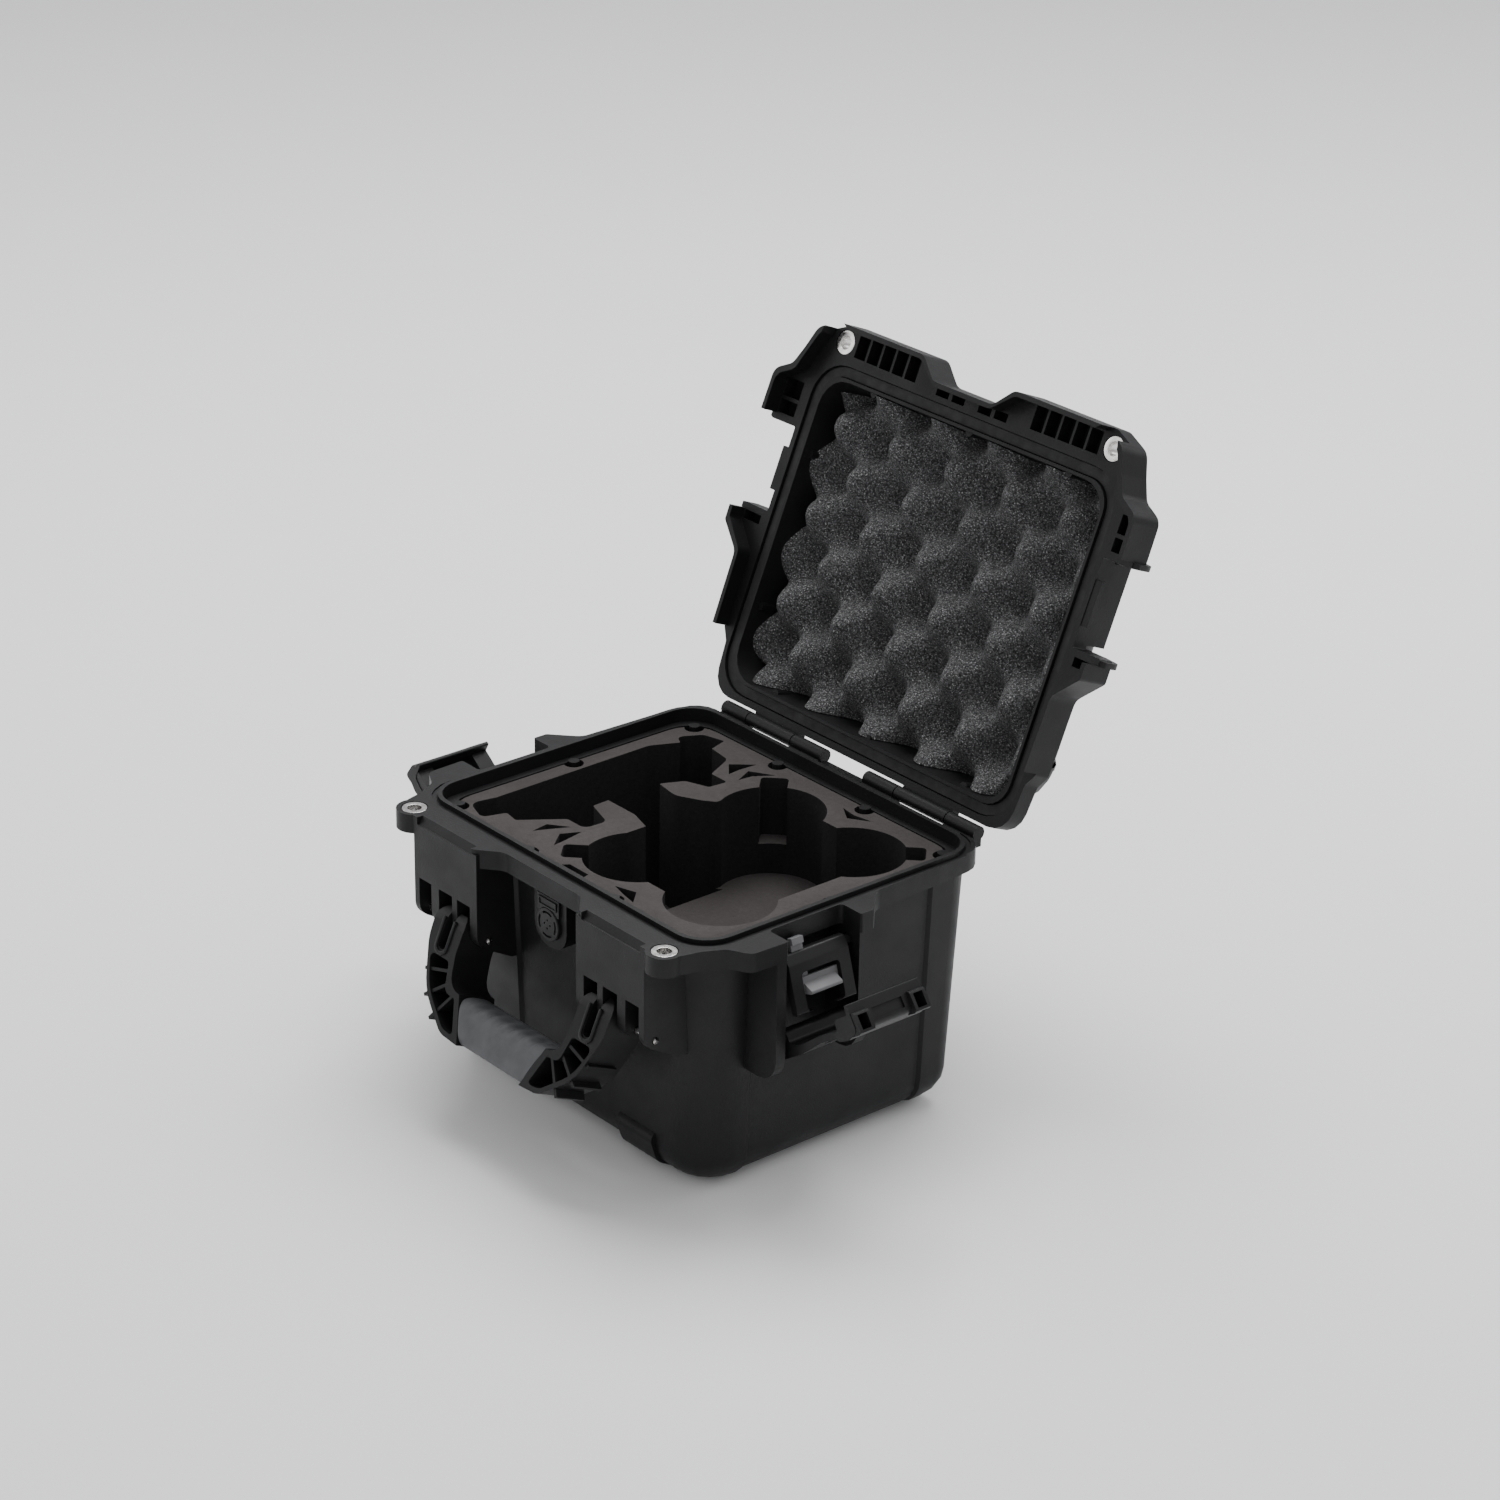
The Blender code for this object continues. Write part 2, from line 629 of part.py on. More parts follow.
def lid_outline(inset=0.0):
    """The skirt that wraps round the base's flange, or its inner side when inset."""
    d = inset
    return rounded(both_sides([
        (26.0 - d * 0.4, -119.5 + d, 8),
        (40.0 + d * 0.4, -132.2 + d, 8),
        (116.0 - d * 0.4, -132.2 + d, 8),
        (133.0 - d, -124.8 + d * 0.7, 10),
        (139.0 - d, -110.0 + d * 0.3, 12),
        (145.0 - d, -98.0 + d, 8),
        (159.0 - d, -91.0 + d, 8),
        (159.5 - d, BAY_FRONT[1] - 0.5 - d, 1.5),
        (136.6 - d, BAY_FRONT[1] - 0.7 - d, 1.0),
        (136.6 - d, BAY_BACK[0] + 0.7 + d, 1.0),
        (159.5 - d, BAY_BACK[0] + 0.5 + d, 1.5),
        (159.5 - d, 8.4 - d, 3),
        (142.4 - d, 24.0 - d * 0.5, 8),
        (141.4 - d, 72.0, 3),
        (136.0 - d, 80.0, 4),
        (133.5 - d, 112.0 - d, 16),
        (60.0, 112.0 - d, 0),
    ]), 4)


def lid_inside():
    steps = 3
    radius = 12.0
    sections = [(rounded_box(123.5, 98.5, 19), PARTING - 1)]
    for i in range(steps + 1):
        turn = math.radians(90 * i / steps)
        inset = radius * (1 - math.cos(turn))
        z = LID_CAVITY_TOP - 3 - radius * (1 - math.sin(turn))
        sections.append((rounded_box(119.5 - inset, 94.5 - inset, 20 - inset * 0.6), z))
    return loft(sections)


def lid_fin(low, high):
    """A thin ear that guards the end of the latch bar."""
    side = rounded([(130.0, 161.0, 0), (162.5, 161.0, 3), (162.5, 177.0, 9), (146.0, 181.0, 4), (130.0, 181.0, 0)], 4)
    return prism([side], low, high, plane="XZ")


def skirt_pockets():
    """The hollows between the ribs of the skirt, open towards the base."""
    top = LID_WEB_TOP - 2.5
    pockets = []
    for i in range(5):
        x = 50.5 + 11.6 * i
        pockets.append(((x, x + 9.8), (-128.6 + 0.15 * i, -113.5 - 0.15 * i)))
    for i in range(2):
        x = 6.0 + 14.0 * i
        pockets.append(((x, x + 11.0), (-116.9 + 0.2 * i, -111.2 - 0.2 * i)))
    for y in ((-88.0, -76.5), (-74.0, -65.5), (-1.0, 4.8)):
        pockets.append(((140.5, 155.5), y))
    boxes = []
    for x, y in pockets:
        boxes += on_both_sides(lambda x=x, y=y: box(x, y, (PARTING - 3, top)))
    return boxes


def lid_screw_bosses():
    places = [(86.0, -97.9), (0.0, -97.9), (-86.0, -97.9), (122.7, -48.0), (-122.7, -48.0)]
    places += [(122.7, 52.0), (-122.7, 52.0), (86.0, 97.9), (0.0, 97.9), (-86.0, 97.9)]
    return [cylinder("Z", 166.0, 180.0, 2.9, x, y, 12) for x, y in places]


def lid_shell():
    shell = prism([lid_outline()], LID_SKIRT_BOTTOM, LID_WEB_TOP)
    cut(
        shell,
        prism([lid_outline(SKIRT_WALL)], LID_SKIRT_BOTTOM - 5, PARTING),
        box((-170, 170), (71.0, 130), (LID_SKIRT_BOTTOM - 5, PARTING)),
        *on_both_sides(lambda: box((132.0, 165.0), (-64.6, -1.4), (LID_SKIRT_BOTTOM - 5, PARTING))),
        *on_both_sides(
            lambda: cylinder("Z", LID_SKIRT_BOTTOM - 5, PARTING, EYELET_BOSS_R + 1, EYELET_X, EYELET_Y - 0.3, 28)
        ),
    )
    additions = [lid_dome()]
    for low, high in ((BAY_FRONT[1] - 4.6, BAY_FRONT[1] - 1.2), (BAY_BACK[0] + 1.2, BAY_BACK[0] + 4.6)):
        additions += on_both_sides(lambda low=low, high=high: lid_fin(low, high))
    additions += on_both_sides(lambda: box((130.0, 141.6), (BAY_MID - 14, BAY_MID + 14), (PARTING + 0.5, 164.1)))
    additions += on_both_sides(lambda: box((116.0, 136.1), (BAY_MID - 25, BAY_MID + 25), (166.0, 188.0)))
    for sx in (-1, 1):
        for sy in (-1, 1):
            pad = [(56.0, 49.0, 6), (98.0, 46.0, 6), (98.0, 72.0, 12), (80.0, 79.0, 8), (56.0, 76.0, 6)]
            pad = rounded([(sx * x, sy * y, r) for x, y, r in pad], 3)
            additions.append(prism([pad], LID_TOP - 6, LID_TOP))
    for low, high in LID_KNUCKLES:
        additions.append(cylinder("X", low, high, KNUCKLE_R, HINGE_Y, HINGE_Z, 16))
        additions.append(box((low + 0.4, high - 0.4), (106, HINGE_Y + 1), (HINGE_Z + 1.6, HINGE_Z + 8)))
    combine(shell, additions, "UNION", "MANIFOLD")
    hollows = [
        lid_inside(),
        prism([
            rounded_box(RIM_X + 2.2, RIM_Y + 2.2, RIM_R + 2.2, 6),
            rounded_box(RIM_X - RIM_WIDTH - 2.2, RIM_Y - RIM_WIDTH - 2.2, RIM_R - RIM_WIDTH - 2.2, 6),
        ], PARTING - 2, 165.2),
        *skirt_pockets(),
    ]
    combine(shell, hollows, "DIFFERENCE", "MANIFOLD")
    combine(shell, lid_screw_bosses(), "UNION", "MANIFOLD")
    combine(shell, lid_holes(), "DIFFERENCE", "MANIFOLD")
    return keep(shell, "lid_shell", "shell_black", LID)


def lid_holes():
    holes = [cylinder("X", low - 0.5, high + 0.5, HINGE_PIN_R + GAP, HINGE_Y, HINGE_Z, 14) for low, high in HINGE_PINS]
    for make in (
        lambda: cylinder("Z", 140, 180, EYELET_HOLE_R + GAP, EYELET_X, EYELET_Y, 28),
        lambda: cylinder("Z", 140, PARTING + 1.3, EYELET_FLANGE_R + 0.4, EYELET_X, EYELET_Y, 28),
    ):
        holes += on_both_sides(make)
    return holes


def lid_seal():
    """The rubber ring that the base's tongue presses into."""
    low, high = RIM_TOP + GAP, 164.9
    ring = prism([
        rounded_box(RIM_X + 1.8, RIM_Y + 1.8, RIM_R + 1.8, 6),
        rounded_box(RIM_X - RIM_WIDTH - 1.8, RIM_Y - RIM_WIDTH - 1.8, RIM_R - RIM_WIDTH - 1.8, 6),
    ], low, high)
    return keep(ring, "lid_seal", "seal_rubber", LID)


def lid_foam():
    """The pad of convoluted foam under the lid, as the space that its peaks reach."""
    sections = [
        (rounded_box(119.3, 94.7, 19), 167.0),
        (rounded_box(118.2, 93.4, 20), 188.0),
        (rounded_box(113.6, 88.6, 18), 196.0),
        (rounded_box(106.0, 81.0, 14), LID_CAVITY_TOP - 3.4),
    ]
    return keep(loft(sections), "lid_foam", "foam_charcoal", LID)


# ---------------------------------------------------------------- foam in the base

def controller_outline():
    """The pocket for the remote control, which stands on end beside the aircraft."""
    return rounded([
        (-110.0, -66.0, 4),
        (-113.5, -83.0, 7),
        (-94.0, -89.5, 4),
        (-89.0, -74.0, 2),
        (-78.0, -76.0, 2),
        (-60.0, -51.0, 4),
        (-44.0, -51.0, 5),
        (-43.0, -35.0, 5),
        (-65.0, -28.0, 2),
        (-65.5, -16.0, 3),
        (-64.0, 24.0, 4),
        (-58.0, 37.0, 4),
        (-42.5, 43.0, 2),
        (-41.0, 56.0, 2),
        (-56.0, 56.0, 2),
        (-66.0, 77.0, 6),
        (-84.0, 79.5, 1),
        (-88.0, 92.5, 1),
        (-103.0, 88.5, 5),
        (-111.0, 74.0, 4),
        (-103.0, 70.0, 1),
        (-111.5, 52.0, 10),
    ], 3)


def guard_pockets(low):
    """Four round lobes for the propeller guards, the body between them and a finger notch at three."""
    top = FOAM_TOP + 5
    shapes = [cylinder("Z", low, top, GUARD_R, x, y, 28) for x, y in GUARDS]
    shapes.append(prism([rounded_box(61.0, 66.0, 8, 3, 37.5, 0.0)], low - 0.01, top + 0.01))
    for x, y in ((-21.5, 76.5), (101.5, 77.5), (-22.5, -73.5)):
        notch = box((-8.5, 8.5), (-8.5, 8.5), (low + 20, top + 0.02))
        place = Matrix.Translation((x * MM, y * MM, 0)) @ Matrix.Rotation(math.pi / 4, 4, "Z")
        shapes.append(moved(notch, place))
    return shapes


def leaf_outlines():
    """Small three-cornered slots for spare blades."""
    return [
        [(-60.0, -77.0), (-56.0, -68.0), (-50.0, -56.0), (-62.0, -65.0)],
        [(-37.0, -79.0), (-38.0, -71.0), (-41.0, -55.0), (-47.0, -67.0)],
        [(-49.0, 64.0), (-50.0, 73.0), (-49.0, 86.0), (-60.0, 73.0)],
        [(-39.0, 63.0), (-38.0, 73.0), (-30.0, 85.0), (-45.0, 76.0)],
        [(27.0, -84.0), (39.0, -87.0), (50.0, -89.0), (41.0, -79.5)],
        [(30.0, 87.0), (42.0, 79.5), (55.0, 88.0), (41.0, 85.5)],
    ]


def foam_insert():
    block = loft([
        (rounded_box(FOAM_LOW_X, FOAM_LOW_Y, FOAM_R + 3), FOAM_BOTTOM),
        (rounded_box(FOAM_TOP_X, FOAM_TOP_Y, FOAM_R), FOAM_TOP),
    ])
    notches = [cylinder("Z", 136, FOAM_TOP + 5, 6.2, x, y, 12) for x, y in ledge_boss_places()]
    top = FOAM_TOP + 5
    slots = [prism([outline], LEAF_FLOOR, top) for outline in leaf_outlines()]
    slots.append(prism([[(-14.0, -91.0), (7.0, -91.0), (6.0, -87.0), (-11.0, -87.0)]], LEAF_FLOOR, top))
    channel = prism([rounded([(-75.0, -16.0, 0), (-20.0, -21.0, 3), (-20.0, 27.0, 3), (-75.0, 23.0, 0)], 3)], DRONE_FLOOR - 20, top)
    cut(block, *guard_pockets(DRONE_FLOOR))
    cut(block, prism([controller_outline()], CONTROLLER_FLOOR, top), channel)
    cut(block, *slots, *notches)
    return keep(block, "foam_insert", "foam_dark")


def foam_floor():
    pad = loft([
        (rounded_box(103.5, 78.5, 14), FLOOR_TOP + GAP),
        (rounded_box(112.5, 87.5, 22), FLOOR_TOP + 13),
        (rounded_box(114.5, 89.5, 24), FOAM_BOTTOM - GAP),
    ])
    return keep(pad, "foam_floor", "foam_charcoal")


# ---------------------------------------------------------------- handle

def handle_outline():
    """The handle seen along its thickness, with its pins at height 0 and its grip below."""
    half = [
        (30.0, -60.5, 0),
        (47.0, -59.5, 14),
        (71.0, -41.0, 38),
        (82.6, -12.0, 30),
        (83.6, 11.0, 10),
        (54.9, 11.0, 10),
        (55.5, -13.0, 25),
        (51.5, -33.0, 11),
        (41.5, -33.0, 0),
    ]
    return half


def handle_frame():
    thick = (-HANDLE_HALF, HANDLE_HALF)
    right = rounded(handle_outline(), 5)
    middle = [(-36.0, -57.5), (36.0, -57.5), (42.5, -37.0), (-42.5, -37.0)]
    frame = prism([right], *thick, plane="XZ")
    other = flipped(prism([right], *thick, plane="XZ"))
    join(frame, other, prism([middle], -9.0, 9.0, plane="XZ"))
    fork = rounded([(65.6, -15.0, 3), (72.4, -15.0, 3), (72.4, 20.0, 0), (65.6, 20.0, 0)], 3)
    channel = rounded([
        (36.0, -57.0, 2),
        (46.5, -56.2, 11),
        (68.4, -39.0, 34),
        (77.5, -19.0, 3),
        (59.0, -19.0, 3),
        (54.5, -36.5, 6),
        (44.5, -36.8, 2),
    ], 4)
    for make in (
        lambda: prism([fork], -20.0, 20.0, plane="XZ"),
        lambda: prism([channel], -20.0, 8.0, plane="XZ"),
        lambda: box((50.0, 65.8), (-20.0, 20.0), (9.0, 20.0)),
        lambda: cylinder("X", 50, 90, HANDLE_PIN_R + GAP, 0, 0, 14),
    ):
        cut(frame, *on_both_sides(make))
    over = [(-25.0, -0.5), *reversed(arc(0, 0, HANDLE_HALF, 2, 178, 10)), (25.0, -0.5), (25.0, 25.0), (-25.0, 25.0)]
    cut(frame, prism([over], -100.0, 100.0, plane="YZ"))
    ribs = []
    for x, z, turn in ((54.5, -46.0, 35), (62.5, -37.5, 52), (67.0, -27.0, 75)):
        rib = box((-1.0, 1.0), (-HANDLE_HALF + 1.0, 9.0), (-11.5, 11.5))
        place = Matrix.Translation((x * MM, 0, z * MM)) @ Matrix.Rotation(math.radians(-turn), 4, "Y")
        ribs.append(moved(rib, place))
    return frame, ribs


def handle():
    frame, ribs = handle_frame()
    for rib in ribs:
        other = flipped(rib_copy(rib))
        join(frame, rib, other)
    place = Matrix.Translation((0, HANDLE_Y * MM, HANDLE_Z * MM))
    keep(moved(frame, place), "handle_frame", "latch_black", HANDLE)
    keep(moved(handle_grip(), place), "handle_grip", "grip_grey", HANDLE)


def rib_copy(rib):
    return scratch(rib.data.copy())


def handle_grip():
    """The soft sleeve on the bar, with a row of finger grooves along the side that the fingers meet."""
    section = rounded([(-14.0, -33.5, 7), (14.0, -33.5, 7), (14.0, -61.0, 8), (-14.0, -61.0, 8)], 4)
    sleeve = prism([section], -GRIP_HALF - 5, GRIP_HALF + 5, plane="YZ")
    wedge = [(28.4, -63.0), (60.0, -63.0), (60.0, -20.0), (46.4, -20.0)]
    cut(sleeve, *on_both_sides(lambda: prism([wedge], -20.0, 20.0, plane="XZ")))
    grooves = []
    for i in range(6):
        x = -27.5 + 11.0 * i
        grooves.append(cylinder("Y", -20.0, 20.0, 5.2, x, -29.3, 10))
    cut(sleeve, box((-60, 60), (-9.0 - GAP, 9.0 + GAP), (-57.5 - GAP, -37.0 + GAP)), *grooves)
    return sleeve


# ---------------------------------------------------------------- latches

def lever_solid():
    """The claw, drawn closed with its pivot at (0, 0): X outwards, Z up."""
    plate = rounded([
        (4.0, -10.0, 3), (11.5, -10.0, 3), (12.5, 12.0, 30), (10.5, 34.0, 40), (12.5, 56.0, 0), (8.0, 56.0, 0),
        (6.5, 34.0, 40), (7.5, 12.0, 20), (4.5, 5.0, 3), (-3.0, 5.2, 3), (-5.2, 0.0, 3), (-3.0, -5.2, 3),
    ], 3)
    bar = rounded([
        (8.0, 53.0, 0), (13.5, 53.0, 3), (15.0, 64.0, 8), (12.0, 73.0, 4), (-4.0, 73.0, 0.8), (-4.0, 70.6, 0.8),
        (6.5, 69.0, 3), (8.0, 62.0, 4),
    ], 3)
    solid = prism([plate], -LEVER_HALF, LEVER_HALF, plane="XZ")
    join(solid, prism([bar], -BAR_HALF, BAR_HALF, plane="XZ"))
    for y in (-BAR_HALF + 0.4, BAR_HALF - 11.4):
        scoop = rounded([(1.5, 56.5, 2), (13.4, 55.0, 1), (14.4, 76.0, 2), (1.5, 76.0, 2)], 2)
        core = box((3.6, 12.2), (y + 2.2, y + 8.8), (64.0, 80.0))
        join(solid, prism([scoop], y, y + 11.0, plane="XZ"))
        cut(solid, core)
    cut(solid, box((2.5, 9.0), (-11.0, 11.0), (71.8, 80.0)))
    cut(
        solid,
        window_tool(),
        cylinder("Y", -40, 40, LATCH_PIN_R + GAP, 0, 0, 14),
    )
    return solid


def window_tool():
    """The opening of the claw through which the lock slide is reached when it is closed."""
    outline = [(y, z) for y, z in rounded_box(13.0, 12.0, 3, 3, 0.0, 32.0)]
    return prism([outline], 0.0, 20.0, plane="YZ")


def keeper_solid():
    """The arch that hangs from its trunnions between the bay walls, drawn upright with the trunnions at (0, 0)."""
    side = rounded([(-4.6, 2.0, 2), (-1.0, 5.0, 2), (3.5, 4.5, 2), (6.0, -2.0, 3), (6.0, -31.0, 1.5), (1.5, -31.0, 1.5), (0.0, -6.0, 3), (-4.0, -3.5, 2)], 3)
    solid = prism([side], -KEEPER_HALF, KEEPER_HALF, plane="XZ")
    join(solid, cylinder("Y", -29.5, 29.5, 3.0, 0, 0, 14))
    window = [(y, z) for y, z in rounded_box(14.0, 11.5, 2.5, 3, 0.0, -19.0)]
    stem_way = box((-0.6, 2.6), (-15.6, -6.4), (-17.5, 8.0))
    cut(solid, prism([window], -10.0, 20.0, plane="YZ"), stem_way)
    foot_gap = box((-1.0, 8.0), (-8.0, 8.0), (-33.0, -28.5))
    return cut(solid, foot_gap)


def lock_solid():
    """The slide in the arch's window: an L-shaped thumb ledge, and a stem that ends in a nub above the barrel."""
    slide = box((0.8, 3.2), (-13.6, 13.6), (-21.0, -11.0))
    ledge = rounded([(2.6, -21.0, 0), (9.0, -21.0, 1), (9.0, -19.0, 1), (3.2, -14.5, 0.5), (2.6, -14.5, 0)], 2)
    join(
        slide,
        prism([ledge], -11.5, 11.5, plane="XZ"),
        box((-0.2, 2.2), (-15.2, -6.8), (-13.0, 9.0)),
        box((-0.2, 4.0), (-15.2, -6.8), (8.4, 12.4)),
    )
    return slide


def latches():
    for side, word in ((-1, "left"), (1, "right")):
        lever = LATCH[word]["lever"]
        keeper = LATCH[word]["keeper"]
        lock = LATCH[word]["lock"]
        for make, name, look, parent, x, z in (
            (lever_solid, "lever", "latch_black", lever, LEVER_X, LEVER_Z),
            (keeper_solid, "keeper", "latch_black", keeper, KEEPER_X, KEEPER_Z),
            (lock_solid, "lock", "lock_grey", lock, KEEPER_X, KEEPER_Z),
        ):
            solid = make()
            if side < 0:
                flipped(solid)
            moved(solid, Matrix.Translation((side * x * MM, BAY_MID * MM, z * MM)))
            keep(solid, f"latch_{name}_{word}", look, parent)


# ---------------------------------------------------------------- the case

def clear_scene():
    for thing in list(bpy.data.objects):
        bpy.data.objects.remove(thing)


clear_scene()
PARTS = bpy.data.collections.new("drone_carrying_case")
bpy.context.scene.collection.children.link(PARTS)
LID = pivot("lid_pivot", 0, HINGE_Y, HINGE_Z, "x", -LID_OPEN)
HANDLE = pivot("handle_pivot", 0, HANDLE_Y, HANDLE_Z, "x", -HANDLE_TILT)
LATCH = {}
for SIDE, WORD in ((-1, "left"), (1, "right")):
    TURN = LEVER_OPEN[WORD]
    LEAN = -KEEPER_SHARE * TURN
    LATCH[WORD] = {
        "lever": pivot(f"latch_lever_{WORD}_pivot", LEVER_X, BAY_MID, LEVER_Z, "y", TURN, SIDE),
        "keeper": pivot(f"latch_keeper_{WORD}_pivot", KEEPER_X, BAY_MID, KEEPER_Z, "y", LEAN, SIDE),
        "lock": pivot(f"latch_lock_{WORD}_pivot", KEEPER_X, BAY_MID, KEEPER_Z, "y", LEAN, SIDE),
    }

base_shell()
eyelets()
pins()
valve()
foam_insert()
foam_floor()
lid_shell()
lid_seal()
lid_foam()
handle()
latches()
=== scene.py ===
"""The looks of a small hard carrying case for a camera drone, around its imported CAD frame."""

import math

import bmesh
import bpy
from mathutils import Matrix, Vector, noise


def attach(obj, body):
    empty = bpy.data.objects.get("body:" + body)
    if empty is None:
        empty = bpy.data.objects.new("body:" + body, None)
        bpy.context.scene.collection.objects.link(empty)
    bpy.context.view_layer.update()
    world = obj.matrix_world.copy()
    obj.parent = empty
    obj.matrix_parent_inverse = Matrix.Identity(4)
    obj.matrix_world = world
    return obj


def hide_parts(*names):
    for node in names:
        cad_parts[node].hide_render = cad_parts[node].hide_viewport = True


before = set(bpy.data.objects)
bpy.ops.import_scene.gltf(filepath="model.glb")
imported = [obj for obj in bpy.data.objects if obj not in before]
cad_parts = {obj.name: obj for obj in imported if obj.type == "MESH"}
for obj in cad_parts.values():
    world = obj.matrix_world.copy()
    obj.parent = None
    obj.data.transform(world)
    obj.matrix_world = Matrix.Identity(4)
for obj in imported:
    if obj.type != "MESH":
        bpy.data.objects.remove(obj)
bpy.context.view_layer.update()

MM = 0.001
LIFT = 10.0  # pieces are drawn this far below their place, as the CAD is
HINGE_Y, HINGE_Z = 117.6, 159.3
LID_OPEN = 112.76

# The camera stands where the photograph was taken from, in metres
CAMERA_AT = Vector((1.7286, -1.4286, 1.2464))
CAMERA_TO = Vector((0.0458, 0.0, 0.2316))
CAMERA_ROLL = 0.85
CAMERA_LENS = 101.42

# The cut foam in the base, in millimetres
FOAM_TOP = 153.0
FOAM_BOTTOM = 15.3
DRONE_FLOOR = 95.0
CONTROLLER_FLOOR = 45.0
LEAF_FLOOR = 128.0
GUARD_R = 33.0
GUARDS = ((6.0, 51.5), (78.0, 51.5), (6.0, -50.0), (78.0, -48.0))

# The convoluted foam in the lid
CREST_X, CREST_Y = 49.0, 56.0  # pitch of the crests, which stand like the black squares of a chessboard
CREST_AT = (-4.0, -70.0)
CREST_TOP, CREST_LOW = 163.6, 191.0
CREST_SHARPNESS = 0.95
PAD_X, PAD_Y, PAD_R = 119.4, 94.4, 19.5
PAD_BACK = 200.0
PAD_STEP = 1.6
PAD_BACK_SHARE = (0.895, 0.865)  # how much narrower the pad is at its back, across and along
SWELL, SWELL_FROM, SWELL_OVER = 0.03, 186.0, 22.0  # the pad grows by this share towards its crests

# The handle, in millimetres
HANDLE_Y, HANDLE_Z, HANDLE_TILT = -119.5, 99.0, 24.0

# The sleeve on the handle, in millimetres from the pivot
GRIP_HALF_Y, GRIP_HALF_Z, GRIP_POWER = 14.0, 13.7, 3.6
GRIP_Z = -47.3
GRIP_LOW_Z, GRIP_LOW_REACH, GRIP_SLANT = -63.0, 28.9, 0.4186  # half its length grows with the height
GRIP_END, GRIP_END_LENGTH, GRIP_END_DRAW = 0.985, 0.015, 0.072
GROOVES, GROOVE_FIRST_X, GROOVE_PITCH, GROOVE_DEPTH = 6, -26.0, 10.4, 1.5
GROOVE_HALF_X, GROOVE_TURN, GROOVE_HALF_TURN = 3.1, 1.9, 0.62


# ---------------------------------------------------------------- shapes

def rounded(corners, steps=6):
    """A polygon whose corners (x, y, radius) are rounded by arcs."""
    points = []
    count = len(corners)
    for i, (x, y, radius) in enumerate(corners):
        here = Vector((x, y))
        before = Vector(corners[i - 1][:2]) - here
        after = Vector(corners[(i + 1) % count][:2]) - here
        if radius <= 0:
            points.append((x, y))
            continue
        half = before.angle(after) / 2
        reach = radius / math.tan(half)
        centre = here + (before.normalized() + after.normalized()).normalized() * (
            radius / math.sin(half)
        )
        first = here + before.normalized() * reach - centre
        turn = first.angle_signed(here + after.normalized() * reach - centre)
        for k in range(steps + 1):
            spoke = first.copy()
            spoke.rotate(Matrix.Rotation(-turn * k / steps, 2))
            points.append(tuple(centre + spoke))
    return points


def rounded_box(half_x, half_y, radius, steps=6, x=0.0, y=0.0):
    corners = [(half_x, -half_y), (half_x, half_y), (-half_x, half_y), (-half_x, -half_y)]
    return rounded([(x + cx, y + cy, radius) for cx, cy in corners], steps)


PLANES = {
    "XY": Matrix(((1, 0, 0), (0, 1, 0), (0, 0, 1))),
    "YZ": Matrix(((0, 0, 1), (1, 0, 0), (0, 1, 0))),
    "XZ": Matrix(((1, 0, 0), (0, 0, -1), (0, 1, 0))),
}


def scratch(mesh, name="scratch"):
    thing = bpy.data.objects.new(name, mesh)
    bpy.context.scene.collection.objects.link(thing)
    return thing


def skinned(shape, name):
    """Turns a bmesh into an object and frees it."""
    mesh = bpy.data.meshes.new(name)
    shape.to_mesh(mesh)
    shape.free()
    return scratch(mesh)


def prism(outlines, low, high, plane="XY"):
    """Flat outlines, the outer one first and its holes after it, made solid from low to high."""
    if plane == "XZ":
        low, high = -high, -low
    curve = bpy.data.curves.new("outline", "CURVE")
    curve.dimensions = "2D"
    curve.fill_mode = "BOTH"
    curve.extrude = (high - low) / 2 * MM
    for outline in outlines:
        spline = curve.splines.new("POLY")
        spline.points.add(len(outline) - 1)
        for point, (x, y) in zip(spline.points, outline):
            point.co = (x * MM, y * MM, 0, 1)
        spline.use_cyclic_u = True
    holder = scratch(curve)
    bpy.context.view_layer.update()
    graph = bpy.context.evaluated_depsgraph_get()
    mesh = bpy.data.meshes.new_from_object(holder.evaluated_get(graph))
    bpy.data.objects.remove(holder)
    bpy.data.curves.remove(curve)
    lift = Matrix.Translation((0, 0, (high + low) / 2 * MM))
    mesh.transform(PLANES[plane].to_4x4() @ lift)
    shape = bmesh.new()
    shape.from_mesh(mesh)
    bmesh.ops.remove_doubles(shape, verts=shape.verts, dist=1e-7)
    bmesh.ops.dissolve_limit(shape, angle_limit=0.001, verts=shape.verts, edges=shape.edges)
    bmesh.ops.recalc_face_normals(shape, faces=shape.faces)
    shape.to_mesh(mesh)
    shape.free()
    return scratch(mesh)


def loft(sections):
    """A closed skin through rings (points, z) that all have the same number of points."""
    shape = bmesh.new()
    rings = []
    for points, z in sections:
        rings.append([shape.verts.new((x * MM, y * MM, z * MM)) for x, y in points])
    for low, high in zip(rings, rings[1:]):
        for i in range(len(low)):
            j = (i + 1) % len(low)
            shape.faces.new((low[i], low[j], high[j], high[i]))
    shape.faces.new(list(reversed(rings[0])))
    shape.faces.new(rings[-1])
    bmesh.ops.recalc_face_normals(shape, faces=shape.faces)
    return skinned(shape, "loft")


def box(x, y, z):
    """A block between pairs of limits."""
    shape = bmesh.new()
    bmesh.ops.create_cube(shape, size=1)
    size = Matrix.Diagonal([(hi - lo) * MM for lo, hi in (x, y, z)] + [1])
    place = Matrix.Translation([(hi + lo) / 2 * MM for lo, hi in (x, y, z)])
    bmesh.ops.transform(shape, matrix=place @ size, verts=shape.verts)
    return skinned(shape, "box")


